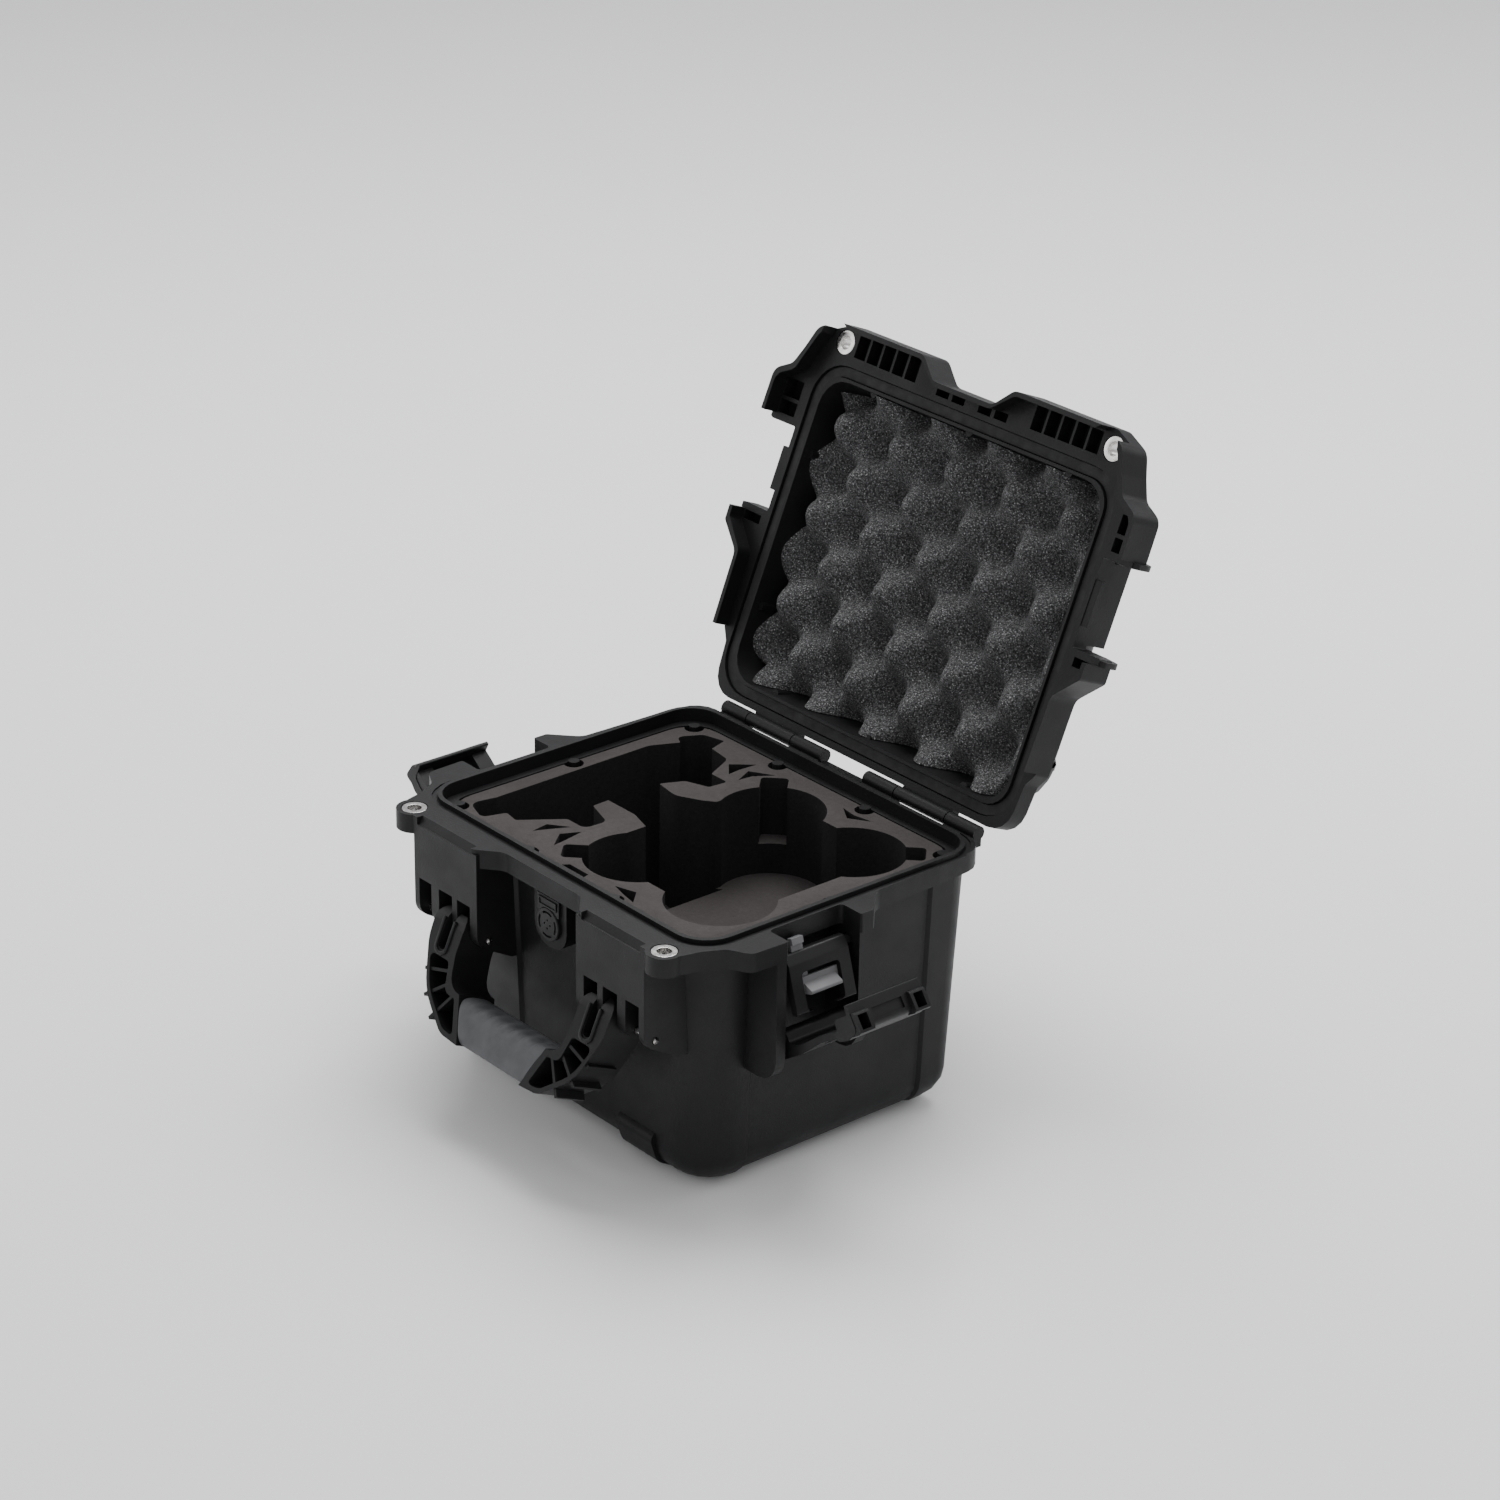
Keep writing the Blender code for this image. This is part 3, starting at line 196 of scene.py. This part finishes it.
def cylinder(low, high, radius, x, y, steps=40):
    """An upright round bar."""
    shape = bmesh.new()
    bmesh.ops.create_cone(
        shape, cap_ends=True, segments=steps, radius1=radius * MM, radius2=radius * MM,
        depth=(high - low) * MM,
    )
    place = Matrix.Translation((x * MM, y * MM, (high + low) / 2 * MM))
    bmesh.ops.transform(shape, matrix=place, verts=shape.verts)
    return skinned(shape, "cylinder")


def settle(thing):
    """Applies the modifiers of an object."""
    bpy.context.view_layer.update()
    graph = bpy.context.evaluated_depsgraph_get()
    mesh = bpy.data.meshes.new_from_object(thing.evaluated_get(graph))
    thing.modifiers.clear()
    thing.data = mesh
    return thing


def combine(target, tools, operation="DIFFERENCE"):
    for tool in tools:
        modifier = target.modifiers.new("combine", "BOOLEAN")
        modifier.operation = operation
        modifier.solver = "EXACT"
        modifier.object = tool
    settle(target)
    for tool in tools:
        bpy.data.objects.remove(tool)
    return target


def soften(thing, name, width, segments=2):
    """Rounds the edges of 45 degrees and more."""
    bevel = thing.modifiers.new(name, "BEVEL")
    bevel.width = width * MM
    bevel.segments = segments
    bevel.limit_method = "ANGLE"
    bevel.angle_limit = math.radians(45)
    return settle(thing)


def opened(thing):
    """Turns a piece drawn on the closed lid to the lid's resting place."""
    hinge = Matrix.Translation((0, HINGE_Y * MM, HINGE_Z * MM))
    turn = Matrix.Rotation(-math.radians(LID_OPEN), 4, "X")
    thing.data.transform(hinge @ turn @ hinge.inverted())
    return thing


def on_handle(thing):
    """Turns a piece drawn about the handle's pivot to the handle's resting place."""
    pivot = Matrix.Translation((0, HANDLE_Y * MM, HANDLE_Z * MM))
    thing.data.transform(pivot @ Matrix.Rotation(-math.radians(HANDLE_TILT), 4, "X"))
    return thing


def finish_piece(thing, name, look, body, replaces=(), sharp=35):
    """Names a piece, gives it its look, lifts it to its place and lets it ride on its body."""
    thing.name = name
    thing.data.name = name
    thing.data.materials.clear()
    thing.data.materials.append(look)
    thing.data.shade_smooth()
    thing.data.set_sharp_from_angle(angle=math.radians(sharp))
    thing.data.transform(Matrix.Translation((0, 0, LIFT * MM)))
    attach(thing, body)
    if replaces:
        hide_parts(*replaces)
    return thing


# ---------------------------------------------------------------- materials

class Look:
    """A Principled material with helpers that add procedural detail."""

    def __init__(self, name, roughness=0.5, metallic=0.0, specular=0.5):
        self.material = bpy.data.materials.new(name)
        self.material.use_nodes = True
        self.tree = self.material.node_tree
        self.shader = self.tree.nodes["Principled BSDF"]
        self.shader.inputs["Roughness"].default_value = roughness
        self.shader.inputs["Metallic"].default_value = metallic
        self.shader.inputs["Specular IOR Level"].default_value = specular
        self.coordinates = self.add("ShaderNodeTexCoord").outputs["Object"]
        self.normal = None

    def add(self, kind, **values):
        node = self.tree.nodes.new(kind)
        for key, value in values.items():
            setattr(node, key, value)
        return node

    def link(self, out, into):
        self.tree.links.new(out, into)

    def noise(self, scale, detail=3.0, roughness=0.55, source=None):
        node = self.add("ShaderNodeTexNoise")
        node.inputs["Scale"].default_value = scale
        node.inputs["Detail"].default_value = detail
        node.inputs["Roughness"].default_value = roughness
        self.link(source or self.coordinates, node.inputs["Vector"])
        return node.outputs["Fac"]

    def cells(self, scale, feature="F1"):
        node = self.add("ShaderNodeTexVoronoi", feature=feature)
        node.inputs["Scale"].default_value = scale
        self.link(self.coordinates, node.inputs["Vector"])
        return node.outputs["Distance"]

    def ramp(self, value, stops):
        node = self.add("ShaderNodeValToRGB")
        ramp = node.color_ramp
        for i, (place, colour) in enumerate(stops):
            stop = ramp.elements[i] if i < 2 else ramp.elements.new(place)
            stop.position = place
            stop.color = (*colour, 1) if not isinstance(colour, float) else (colour, colour, colour, 1)
        self.link(value, node.inputs["Fac"])
        return node.outputs["Color"]

    def spread(self, value, low, high, into=(0.3, 0.7)):
        node = self.add("ShaderNodeMapRange")
        node.inputs["From Min"].default_value, node.inputs["From Max"].default_value = into
        node.inputs["To Min"].default_value = low
        node.inputs["To Max"].default_value = high
        self.link(value, node.inputs["Value"])
        return node.outputs["Result"]

    def mix(self, a, b, factor, blend="MIX"):
        node = self.add("ShaderNodeMix", data_type="RGBA", blend_type=blend)
        if isinstance(factor, float):
            node.inputs[0].default_value = factor
        else:
            self.link(factor, node.inputs[0])
        for socket, value in ((node.inputs[6], a), (node.inputs[7], b)):
            if isinstance(value, tuple):
                socket.default_value = (*value, 1)
            else:
                self.link(value, socket)
        return node.outputs[2]

    def bump(self, height, distance, strength=1.0):
        node = self.add("ShaderNodeBump")
        node.inputs["Distance"].default_value = distance
        node.inputs["Strength"].default_value = strength
        self.link(height, node.inputs["Height"])
        if self.normal:
            self.link(self.normal, node.inputs["Normal"])
        self.normal = node.outputs["Normal"]
        self.link(self.normal, self.shader.inputs["Normal"])

    def colour(self, value):
        self.link(value, self.shader.inputs["Base Color"])

    def roughness(self, value):
        self.link(value, self.shader.inputs["Roughness"])


def plastic(name, dark, light, rough, grain, depth, scratches=0.5):
    """Moulded plastic: fine spark-eroded grain, soft cloudy sheen and a few pale scuffs."""
    look = Look(name, specular=0.2)
    cloud = look.noise(14.0, 4.0)
    fine = look.noise(900.0, 2.0)
    colour = look.mix(dark, light, look.spread(cloud, 0.0, 1.0))
    scuff = look.noise(120.0, 6.0, 0.75)
    colour = look.mix(colour, tuple(c * 2.2 for c in light), look.spread(scuff, 0.0, scratches, (0.64, 0.78)))
    look.colour(colour)
    look.roughness(look.spread(look.noise(45.0, 5.0), rough - 0.06, rough + 0.08))
    look.bump(look.cells(grain), depth, 0.35)
    look.bump(fine, depth * 0.6, 0.25)
    return look.material


def steel(name):
    look = Look(name, roughness=0.22, metallic=1.0)
    look.colour(look.ramp(look.noise(60.0, 3.0), [(0.3, (0.56, 0.55, 0.54)), (0.7, (0.7, 0.69, 0.67))]))
    look.roughness(look.spread(look.noise(300.0, 4.0), 0.16, 0.34))
    look.bump(look.noise(1500.0, 2.0), 0.00004, 0.3)
    return look.material


def cut_foam(name, face, wall):
    """Closed-cell foam: painted light and shade by slope, a paler colour on up-facing faces and near-black
    side walls, and pin-prick cells.
    """
    look = Look(name, specular=0.2)
    geometry = look.add("ShaderNodeNewGeometry")
    split = look.add("ShaderNodeSeparateXYZ")
    look.link(geometry.outputs["Normal"], split.inputs[0])
    # Slope mask for painted light and shade: faces turned up get the paler face colour, faces turned sideways
    # the near-black wall colour.
    up = look.spread(split.outputs["Z"], 0.0, 1.0, (0.55, 0.9))
    skin = look.mix(face, tuple(c * 1.35 for c in face), look.spread(look.noise(420.0, 5.0, 0.7), 0.0, 1.0))
    skin = look.mix(skin, tuple(c * 0.8 for c in face), look.spread(look.noise(9.0, 3.0), 0.0, 0.8))
    side = look.mix(wall, tuple(c * 1.8 for c in wall), look.spread(look.noise(500.0, 5.0, 0.7), 0.0, 1.0))
    look.colour(look.mix(side, skin, up))
    look.roughness(look.spread(look.noise(200.0, 3.0), 0.86, 0.98))
    look.bump(look.cells(1300.0), 0.00022, 0.55)
    look.bump(look.noise(90.0, 4.0), 0.0004, 0.25)
    return look.material


def open_foam(name):
    """Open-cell foam: a charcoal mass full of tiny pale struts."""
    look = Look(name, specular=0.3)
    speck = look.noise(1150.0, 2.0, 0.6)
    mass = look.spread(look.noise(520.0, 4.0, 0.7), 0.0, 1.0)
    base = look.mix((0.028, 0.028, 0.029), (0.13, 0.13, 0.133), mass)
    base = look.mix(base, (0.46, 0.46, 0.465), look.spread(speck, 0.0, 0.85, (0.56, 0.68)))
    base = look.mix(base, (0.006, 0.006, 0.007), look.spread(look.cells(900.0), 0.0, 0.75, (0.35, 0.7)))
    look.colour(base)
    look.roughness(look.spread(look.noise(300.0, 3.0), 0.8, 1.0))
    look.bump(look.cells(950.0), 0.0007, 0.75)
    look.bump(look.noise(330.0, 3.0), 0.0008, 0.5)
    return look.material


def rubber(name, dark, light):
    look = Look(name, specular=0.35)
    look.colour(look.mix(dark, light, look.spread(look.noise(60.0, 5.0), 0.0, 1.0)))
    look.roughness(look.spread(look.noise(140.0, 4.0), 0.55, 0.75))
    look.bump(look.noise(800.0, 3.0), 0.00012, 0.4)
    return look.material


SHELL = plastic(
    "shell_plastic", (0.0070, 0.0070, 0.0076), (0.0105, 0.0105, 0.0113), 0.46, 1100.0, 0.00016, 0.35,
)
NYLON = plastic("fitting_plastic", (0.009, 0.009, 0.0095), (0.013, 0.013, 0.0138), 0.38, 1600.0, 0.00008, 0.3)
GRIP = rubber("grip_rubber", (0.062, 0.064, 0.068), (0.085, 0.088, 0.092))
LOCK = plastic("lock_plastic", (0.13, 0.13, 0.135), (0.17, 0.17, 0.175), 0.45, 1500.0, 0.00008, 0.2)
STEEL = steel("stainless")
# The face colour goes on up-facing faces and the near-black wall colour on side faces, as painted shade on
# the pocket walls.
BASE_FOAM = cut_foam("base_foam", (0.046, 0.041, 0.04), (0.007, 0.0068, 0.007))
LID_FOAM = open_foam("lid_foam_cells")
SEAL = rubber("seal_rubber", (0.007, 0.007, 0.007), (0.012, 0.012, 0.012))
MEMBRANE = rubber("membrane", (0.5, 0.5, 0.48), (0.62, 0.62, 0.6))

NODE_LOOKS = {
    "base_shell": SHELL, "lid_shell": SHELL, "foam_floor": LID_FOAM, "lid_seal": SEAL, "valve_o_ring": SEAL,
    "valve_membrane": MEMBRANE, "valve_cap": NYLON, "handle_frame": NYLON, "handle_grip": GRIP,
}


def look_of(name):
    if name in NODE_LOOKS:
        return NODE_LOOKS[name]
    if "eyelet" in name or "pin" in name:
        return STEEL
    return LOCK if "lock" in name else NYLON


SOFTENED = {
    "base_shell": 0.55, "lid_shell": 0.55, "handle_frame": 0.7, "handle_grip": 1.2, "latch_lever_left": 0.6,
    "latch_lever_right": 0.6, "latch_keeper_left": 0.5, "latch_keeper_right": 0.5, "latch_lock_left": 0.35,
    "latch_lock_right": 0.35, "valve_cap": 0.25, "lid_seal": 0.7, "base_eyelet_left": 0.3,
    "base_eyelet_right": 0.3, "lid_eyelet_left": 0.3, "lid_eyelet_right": 0.3, "foam_floor": 1.0,
}


def dress_nodes():
    """Gives each CAD node its material and the small rounds that catch the light."""
    for name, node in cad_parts.items():
        node.data.materials.clear()
        node.data.materials.append(look_of(name))
        weld = node.modifiers.new("weld", "WELD")
        weld.merge_threshold = 0.00001
        if "eyelet" not in name:
            flat = node.modifiers.new("flat", "DECIMATE")
            flat.decimate_type = "DISSOLVE"
            flat.angle_limit = math.radians(0.4)
        if name in SOFTENED:
            bevel = node.modifiers.new("round", "BEVEL")
            bevel.width = SOFTENED[name] * MM
            bevel.segments = 2
            bevel.limit_method = "ANGLE"
            bevel.angle_limit = math.radians(30)
            bevel.use_clamp_overlap = True
            bevel.harden_normals = False
        smooth = node.modifiers.new("normals", "WEIGHTED_NORMAL")
        smooth.keep_sharp = False


# ---------------------------------------------------------------- foam in the base

def boss_places():
    return [
        (-119.8, 0.0), (119.8, 0.0), (-40.0, 95.3), (40.0, 95.3), (-40.0, -95.3), (40.0, -95.3),
        (-114.5, 90.5), (114.5, 90.5), (-114.5, -90.5), (114.5, -90.5),
    ]


def controller_outline():
    return rounded([
        (-110.0, -66.0, 4), (-113.5, -83.0, 7), (-94.0, -89.5, 4), (-89.0, -74.0, 2), (-78.0, -76.0, 2),
        (-60.0, -51.0, 4), (-44.0, -51.0, 5), (-43.0, -35.0, 5), (-65.0, -28.0, 2), (-65.5, -16.0, 3),
        (-64.0, 24.0, 4), (-58.0, 37.0, 4), (-42.5, 43.0, 2), (-41.0, 56.0, 2), (-56.0, 56.0, 2),
        (-66.0, 77.0, 6), (-84.0, 79.5, 1), (-88.0, 92.5, 1), (-103.0, 88.5, 5), (-111.0, 74.0, 4),
        (-103.0, 70.0, 1), (-111.5, 52.0, 10),
    ])


def leaf_outlines():
    return [
        [(-60.0, -77.0), (-56.0, -68.0), (-50.0, -56.0), (-62.0, -65.0)],
        [(-37.0, -79.0), (-38.0, -71.0), (-41.0, -55.0), (-47.0, -67.0)],
        [(-49.0, 64.0), (-50.0, 73.0), (-49.0, 86.0), (-60.0, 73.0)],
        [(-39.0, 63.0), (-38.0, 73.0), (-30.0, 85.0), (-45.0, 76.0)],
        [(27.0, -84.0), (39.0, -87.0), (50.0, -89.0), (41.0, -79.5)],
        [(30.0, 87.0), (42.0, 79.5), (55.0, 88.0), (41.0, 85.5)],
    ]


def foam_insert():
    """The cut foam: pockets for the aircraft and its remote control, and slots for spare blades."""
    block = loft([
        (rounded_box(115.2, 90.2, 24.0), FOAM_BOTTOM),
        (rounded_box(121.9, 97.4, 21.0), FOAM_TOP),
    ])
    top = FOAM_TOP + 5
    tools = [cylinder(DRONE_FLOOR, top, GUARD_R, x, y, 64) for x, y in GUARDS]
    tools.append(prism([rounded_box(61.0, 66.0, 8, 6, 37.5, 0.0)], DRONE_FLOOR - 0.01, top + 0.01))
    for x, y in ((-21.5, 76.5), (101.5, 77.5), (-22.5, -73.5)):
        notch = prism([rounded_box(8.5, 8.5, 3.0)], DRONE_FLOOR + 20, top + 0.02)
        turn = Matrix.Translation((x * MM, y * MM, 0)) @ Matrix.Rotation(math.pi / 4, 4, "Z")
        notch.data.transform(turn)
        tools.append(notch)
    combine(block, tools)
    channel = rounded([
        (-75.0, -16.0, 0), (-40.0, -16.0, 14), (-20.0, -22.0, 0), (-20.0, 36.0, 0), (-30.0, 28.0, 9),
        (-46.0, 19.5, 12), (-75.0, 24.0, 0),
    ])
    combine(block, [
        prism([controller_outline()], CONTROLLER_FLOOR, top),
        prism([channel], DRONE_FLOOR - 20, top),
    ])
    small = [prism([outline], LEAF_FLOOR, top) for outline in leaf_outlines()]
    small.append(prism([[(-14.0, -91.0), (7.0, -91.0), (6.0, -87.0), (-11.0, -87.0)]], LEAF_FLOOR, top))
    small += [cylinder(136, top, 6.2, x, y, 24) for x, y in boss_places()]
    combine(block, small)
    soften(block, "cut edge", 0.5)
    finish_piece(block, "base_foam", BASE_FOAM, "base", ["foam_insert"])


# ---------------------------------------------------------------- foam in the lid

def crest(x, y):
    """How far the foam's surface stands towards the base, from 0 in a valley to 1 on a crest."""
    wave_x = math.cos(2 * math.pi * (x - CREST_AT[0]) / CREST_X)
    wave_y = math.cos(2 * math.pi * (y - CREST_AT[1]) / CREST_Y)
    share = 0.5 + 0.5 * wave_x * wave_y
    return share ** CREST_SHARPNESS


def round_corner(x, y):
    """Draws the square corners of the pad's grid in to round ones."""
    over_x, over_y = abs(x) - (PAD_X - PAD_R), abs(y) - (PAD_Y - PAD_R)
    if over_x <= 0 or over_y <= 0:
        return x, y
    share = max(over_x, over_y) / math.hypot(over_x, over_y)
    return (
        math.copysign(PAD_X - PAD_R + over_x * share, x),
        math.copysign(PAD_Y - PAD_R + over_y * share, y),
    )


def lid_foam():
    """Convoluted foam, cut between profiled rollers, whose crests stand in diagonal rows."""
    across, along = int(2 * PAD_X / PAD_STEP), int(2 * PAD_Y / PAD_STEP)
    shape = bmesh.new()
    grid = []
    for j in range(along + 1):
        row = []
        for i in range(across + 1):
            x = -PAD_X + 2 * PAD_X * i / across
            y = -PAD_Y + 2 * PAD_Y * j / along
            rough = noise.fractal(Vector((x, y, 3.0)) * 0.12, 0.6, 2.0, 4) * 0.7
            z = CREST_LOW + (CREST_TOP - CREST_LOW) * crest(x, y) + rough
            x, y = round_corner(x, y)
            swell = 1 + SWELL * max(0.0, SWELL_FROM - z) / SWELL_OVER
            x, y = x * swell, y * swell
            row.append(shape.verts.new((x * MM, y * MM, z * MM)))
        grid.append(row)
    for low, high in zip(grid, grid[1:]):
        for i in range(across):
            shape.faces.new((low[i], low[i + 1], high[i + 1], high[i]))
    rim = [e for e in shape.edges if e.is_boundary]
    made = bmesh.ops.extrude_edge_only(shape, edges=rim)
    wall = [v for v in made["geom"] if isinstance(v, bmesh.types.BMVert)]
    for vert in wall:
        vert.co.x *= PAD_BACK_SHARE[0]
        vert.co.y *= PAD_BACK_SHARE[1]
        vert.co.z = PAD_BACK * MM
    bmesh.ops.contextual_create(shape, geom=[e for e in shape.edges if e.is_boundary])
    bmesh.ops.recalc_face_normals(shape, faces=shape.faces)
    pad = skinned(shape, "lid_foam_pad")
    finish_piece(opened(pad), "lid_foam_pad", LID_FOAM, "lid", ["lid_foam"], 60)


def foam_floor():
    """The plain pad that the cut foam stands on."""
    pad = loft([
        (rounded_box(103.2, 78.2, 14), -4.3),
        (rounded_box(112.2, 87.2, 22), 8.2),
        (rounded_box(114.2, 89.2, 24), 14.7),
    ])
    soften(pad, "worn edge", 0.8, segments=3)
    finish_piece(pad, "floor_pad", LID_FOAM, "base", ["foam_floor"])


def hinge_web():
    """The flange's back edge, which closes the space between the knuckles under the lid."""
    outer = rounded([(-119.0, 105.0, 0), (120.0, 105.0, 0), (120.0, 111.4, 2), (-119.0, 111.4, 2)], 3)
    inner = rounded([(-21.0, 105.0, 0), (16.0, 105.0, 0), (16.0, 117.0, 2), (-21.0, 117.0, 2)], 3)
    web = prism([outer], 149.2, 157.6)
    middle = prism([inner], 150.0, 157.4)
    combine(web, [middle], "UNION")
    soften(web, "round", 0.5)
    finish_piece(web, "hinge_web", SHELL, "base")


# ---------------------------------------------------------------- grip

def groove(x, turn):
    """Depth of the finger grooves, at x along the grip and at an angle round it."""
    depth = 0.0
    for i in range(GROOVES):
        place = GROOVE_FIRST_X + GROOVE_PITCH * i
        depth += math.exp(-(((x - place) / GROOVE_HALF_X) ** 4))
    middle = math.exp(-(((turn - GROOVE_TURN) / GROOVE_HALF_TURN) ** 4))
    return GROOVE_DEPTH * depth * middle


def grip_section(turn):
    """A point (y, z) and outward direction on the sleeve's rounded section, with z from its middle."""
    c, s = math.cos(turn), math.sin(turn)
    reach = (abs(c) ** GRIP_POWER + abs(s) ** GRIP_POWER) ** (-1 / GRIP_POWER)
    return GRIP_HALF_Y * c * reach, GRIP_HALF_Z * s * reach, c, s


def grip():
    """The soft sleeve on the bar, with slanted ends and six finger grooves over its front upper edge."""
    around, along = 72, 120
    shape = bmesh.new()
    rings = []
    for i in range(along + 1):
        share = -1 + 2 * i / along
        ring = []
        for k in range(around):
            turn = 2 * math.pi * k / around
            y, z, c, s = grip_section(turn)
            height = z + GRIP_Z
            x = share * (GRIP_LOW_REACH + GRIP_SLANT * (height - GRIP_LOW_Z))
            ease = 1.0 - GRIP_END_DRAW * max(0.0, abs(share) - GRIP_END) / GRIP_END_LENGTH
            depth = groove(x, turn)
            y, height = (y - c * depth) * ease, (z * ease - s * depth) + GRIP_Z
            ring.append(shape.verts.new((x * MM, y * MM, height * MM)))
        rings.append(ring)
    for low, high in zip(rings, rings[1:]):
        for k in range(around):
            j = (k + 1) % around
            shape.faces.new((low[k], low[j], high[j], high[k]))
    shape.faces.new(list(reversed(rings[0])))
    shape.faces.new(rings[-1])
    bmesh.ops.recalc_face_normals(shape, faces=shape.faces)
    sleeve = skinned(shape, "grip_sleeve")
    combine(sleeve, [box((-60, 60), (-9.3, 9.3), (-57.8, -36.7))])
    finish_piece(on_handle(sleeve), "grip_sleeve", GRIP, "handle", ["handle_grip"], 50)


def handle_loops():
    """The raised loops round the slots between the handle's prongs, on its front and its back."""
    loops = []
    for side in (-1, 1):
        outer = rounded([(62.9, 4.0, 1), (62.9, -18.5, 5.5), (75.1, -18.5, 5.5), (75.1, 4.0, 1)])
        inner = rounded([(65.2, 6.0, 0), (65.2, -16.0, 3.4), (72.8, -16.0, 3.4), (72.8, 6.0, 0)])
        for low, high in ((-15.1, -12.5), (12.5, 14.6)):
            loop = prism([[(side * x, z) for x, z in outer]], low, high, "XZ")
            combine(loop, [prism([[(side * x, z) for x, z in inner]], low - 1, high + 1, "XZ")])
            loops.append(loop)
    whole = loops[0]
    combine(whole, loops[1:], "UNION")
    soften(whole, "round", 0.45)
    finish_piece(on_handle(whole), "handle_loops", NYLON, "handle")


# ---------------------------------------------------------------- studio

def studio():
    """A pale sweep, a large soft light above and weaker ones beside the camera."""
    mesh = bpy.data.meshes.new("floor")
    shape = bmesh.new()
    rows = []
    turns = [a / 12 * math.pi / 2 for a in range(1, 13)]
    bend = [(3.2 + 1.5 * math.sin(turn), 1.5 - 1.5 * math.cos(turn)) for turn in turns]
    for reach, z in [(-6.0, 0.0), (3.2, 0.0)] + bend + [(4.7, 7.0)]:
        rows.append([shape.verts.new((side, reach, z)) for side in (-9.0, 9.0)])
    for low, high in zip(rows, rows[1:]):
        shape.faces.new((low[0], low[1], high[1], high[0]))
    bmesh.ops.recalc_face_normals(shape, faces=shape.faces)
    shape.to_mesh(mesh)
    shape.free()
    floor = scratch(mesh, "studio_floor")
    floor.data.shade_smooth()
    away = (CAMERA_TO - CAMERA_AT).to_2d()
    floor.rotation_euler.z = math.atan2(away.y, away.x) - math.pi / 2
    paper = Look("studio_paper", roughness=0.9, specular=0.1)
    paper.colour(paper.mix((0.8, 0.8, 0.805), (0.815, 0.815, 0.82), paper.spread(paper.noise(3.0), 0.0, 1.0)))
    floor.data.materials.append(paper.material)
    for name, place, size, power, aim in (
        ("key", (-0.5, 0.75, 2.3), 1.7, 78.0, (0.0, 0.0, 0.1)),
        ("fill", (1.9, -2.0, 1.7), 2.0, 9.0, (0.0, 0.0, 0.15)),
        ("left", (-2.2, -1.3, 1.3), 1.6, 14.0, (0.0, 0.0, 0.15)),
        ("back", (0.8, 2.6, 2.0), 2.0, 26.0, (0.0, 0.2, 0.2)),
    ):
        lamp = bpy.data.lights.new(name, "AREA")
        lamp.shape = "SQUARE"
        lamp.size = size
        lamp.energy = power
        holder = bpy.data.objects.new(name, lamp)
        holder.location = place
        holder.rotation_mode = "QUATERNION"
        holder.rotation_quaternion = (Vector(aim) - Vector(place)).to_track_quat("-Z", "Y")
        bpy.context.scene.collection.objects.link(holder)
    world = bpy.data.worlds.new("studio")
    world.use_nodes = True
    world.node_tree.nodes["Background"].inputs["Color"].default_value = (0.86, 0.86, 0.87, 1)
    world.node_tree.nodes["Background"].inputs["Strength"].default_value = 0.75
    bpy.context.scene.world = world


def camera():
    lens = bpy.data.cameras.new("camera")
    lens.lens = CAMERA_LENS
    lens.sensor_width = 36.0
    lens.clip_start, lens.clip_end = 0.05, 60.0
    away = (CAMERA_TO - CAMERA_AT).normalized()
    right = away.cross(Vector((0, 0, 1))).normalized()
    up = right.cross(away)
    roll = math.radians(CAMERA_ROLL)
    right, up = right * math.cos(roll) + up * math.sin(roll), up * math.cos(roll) - right * math.sin(roll)
    holder = bpy.data.objects.new("camera", lens)
    holder.matrix_world = Matrix.Translation(CAMERA_AT) @ Matrix((right, up, -away)).transposed().to_4x4()
    bpy.context.scene.collection.objects.link(holder)
    bpy.context.scene.camera = holder


camera()
dress_nodes()
foam_insert()
foam_floor()
hinge_web()
lid_foam()
grip()
handle_loops()
studio()
bpy.context.view_layer.update()
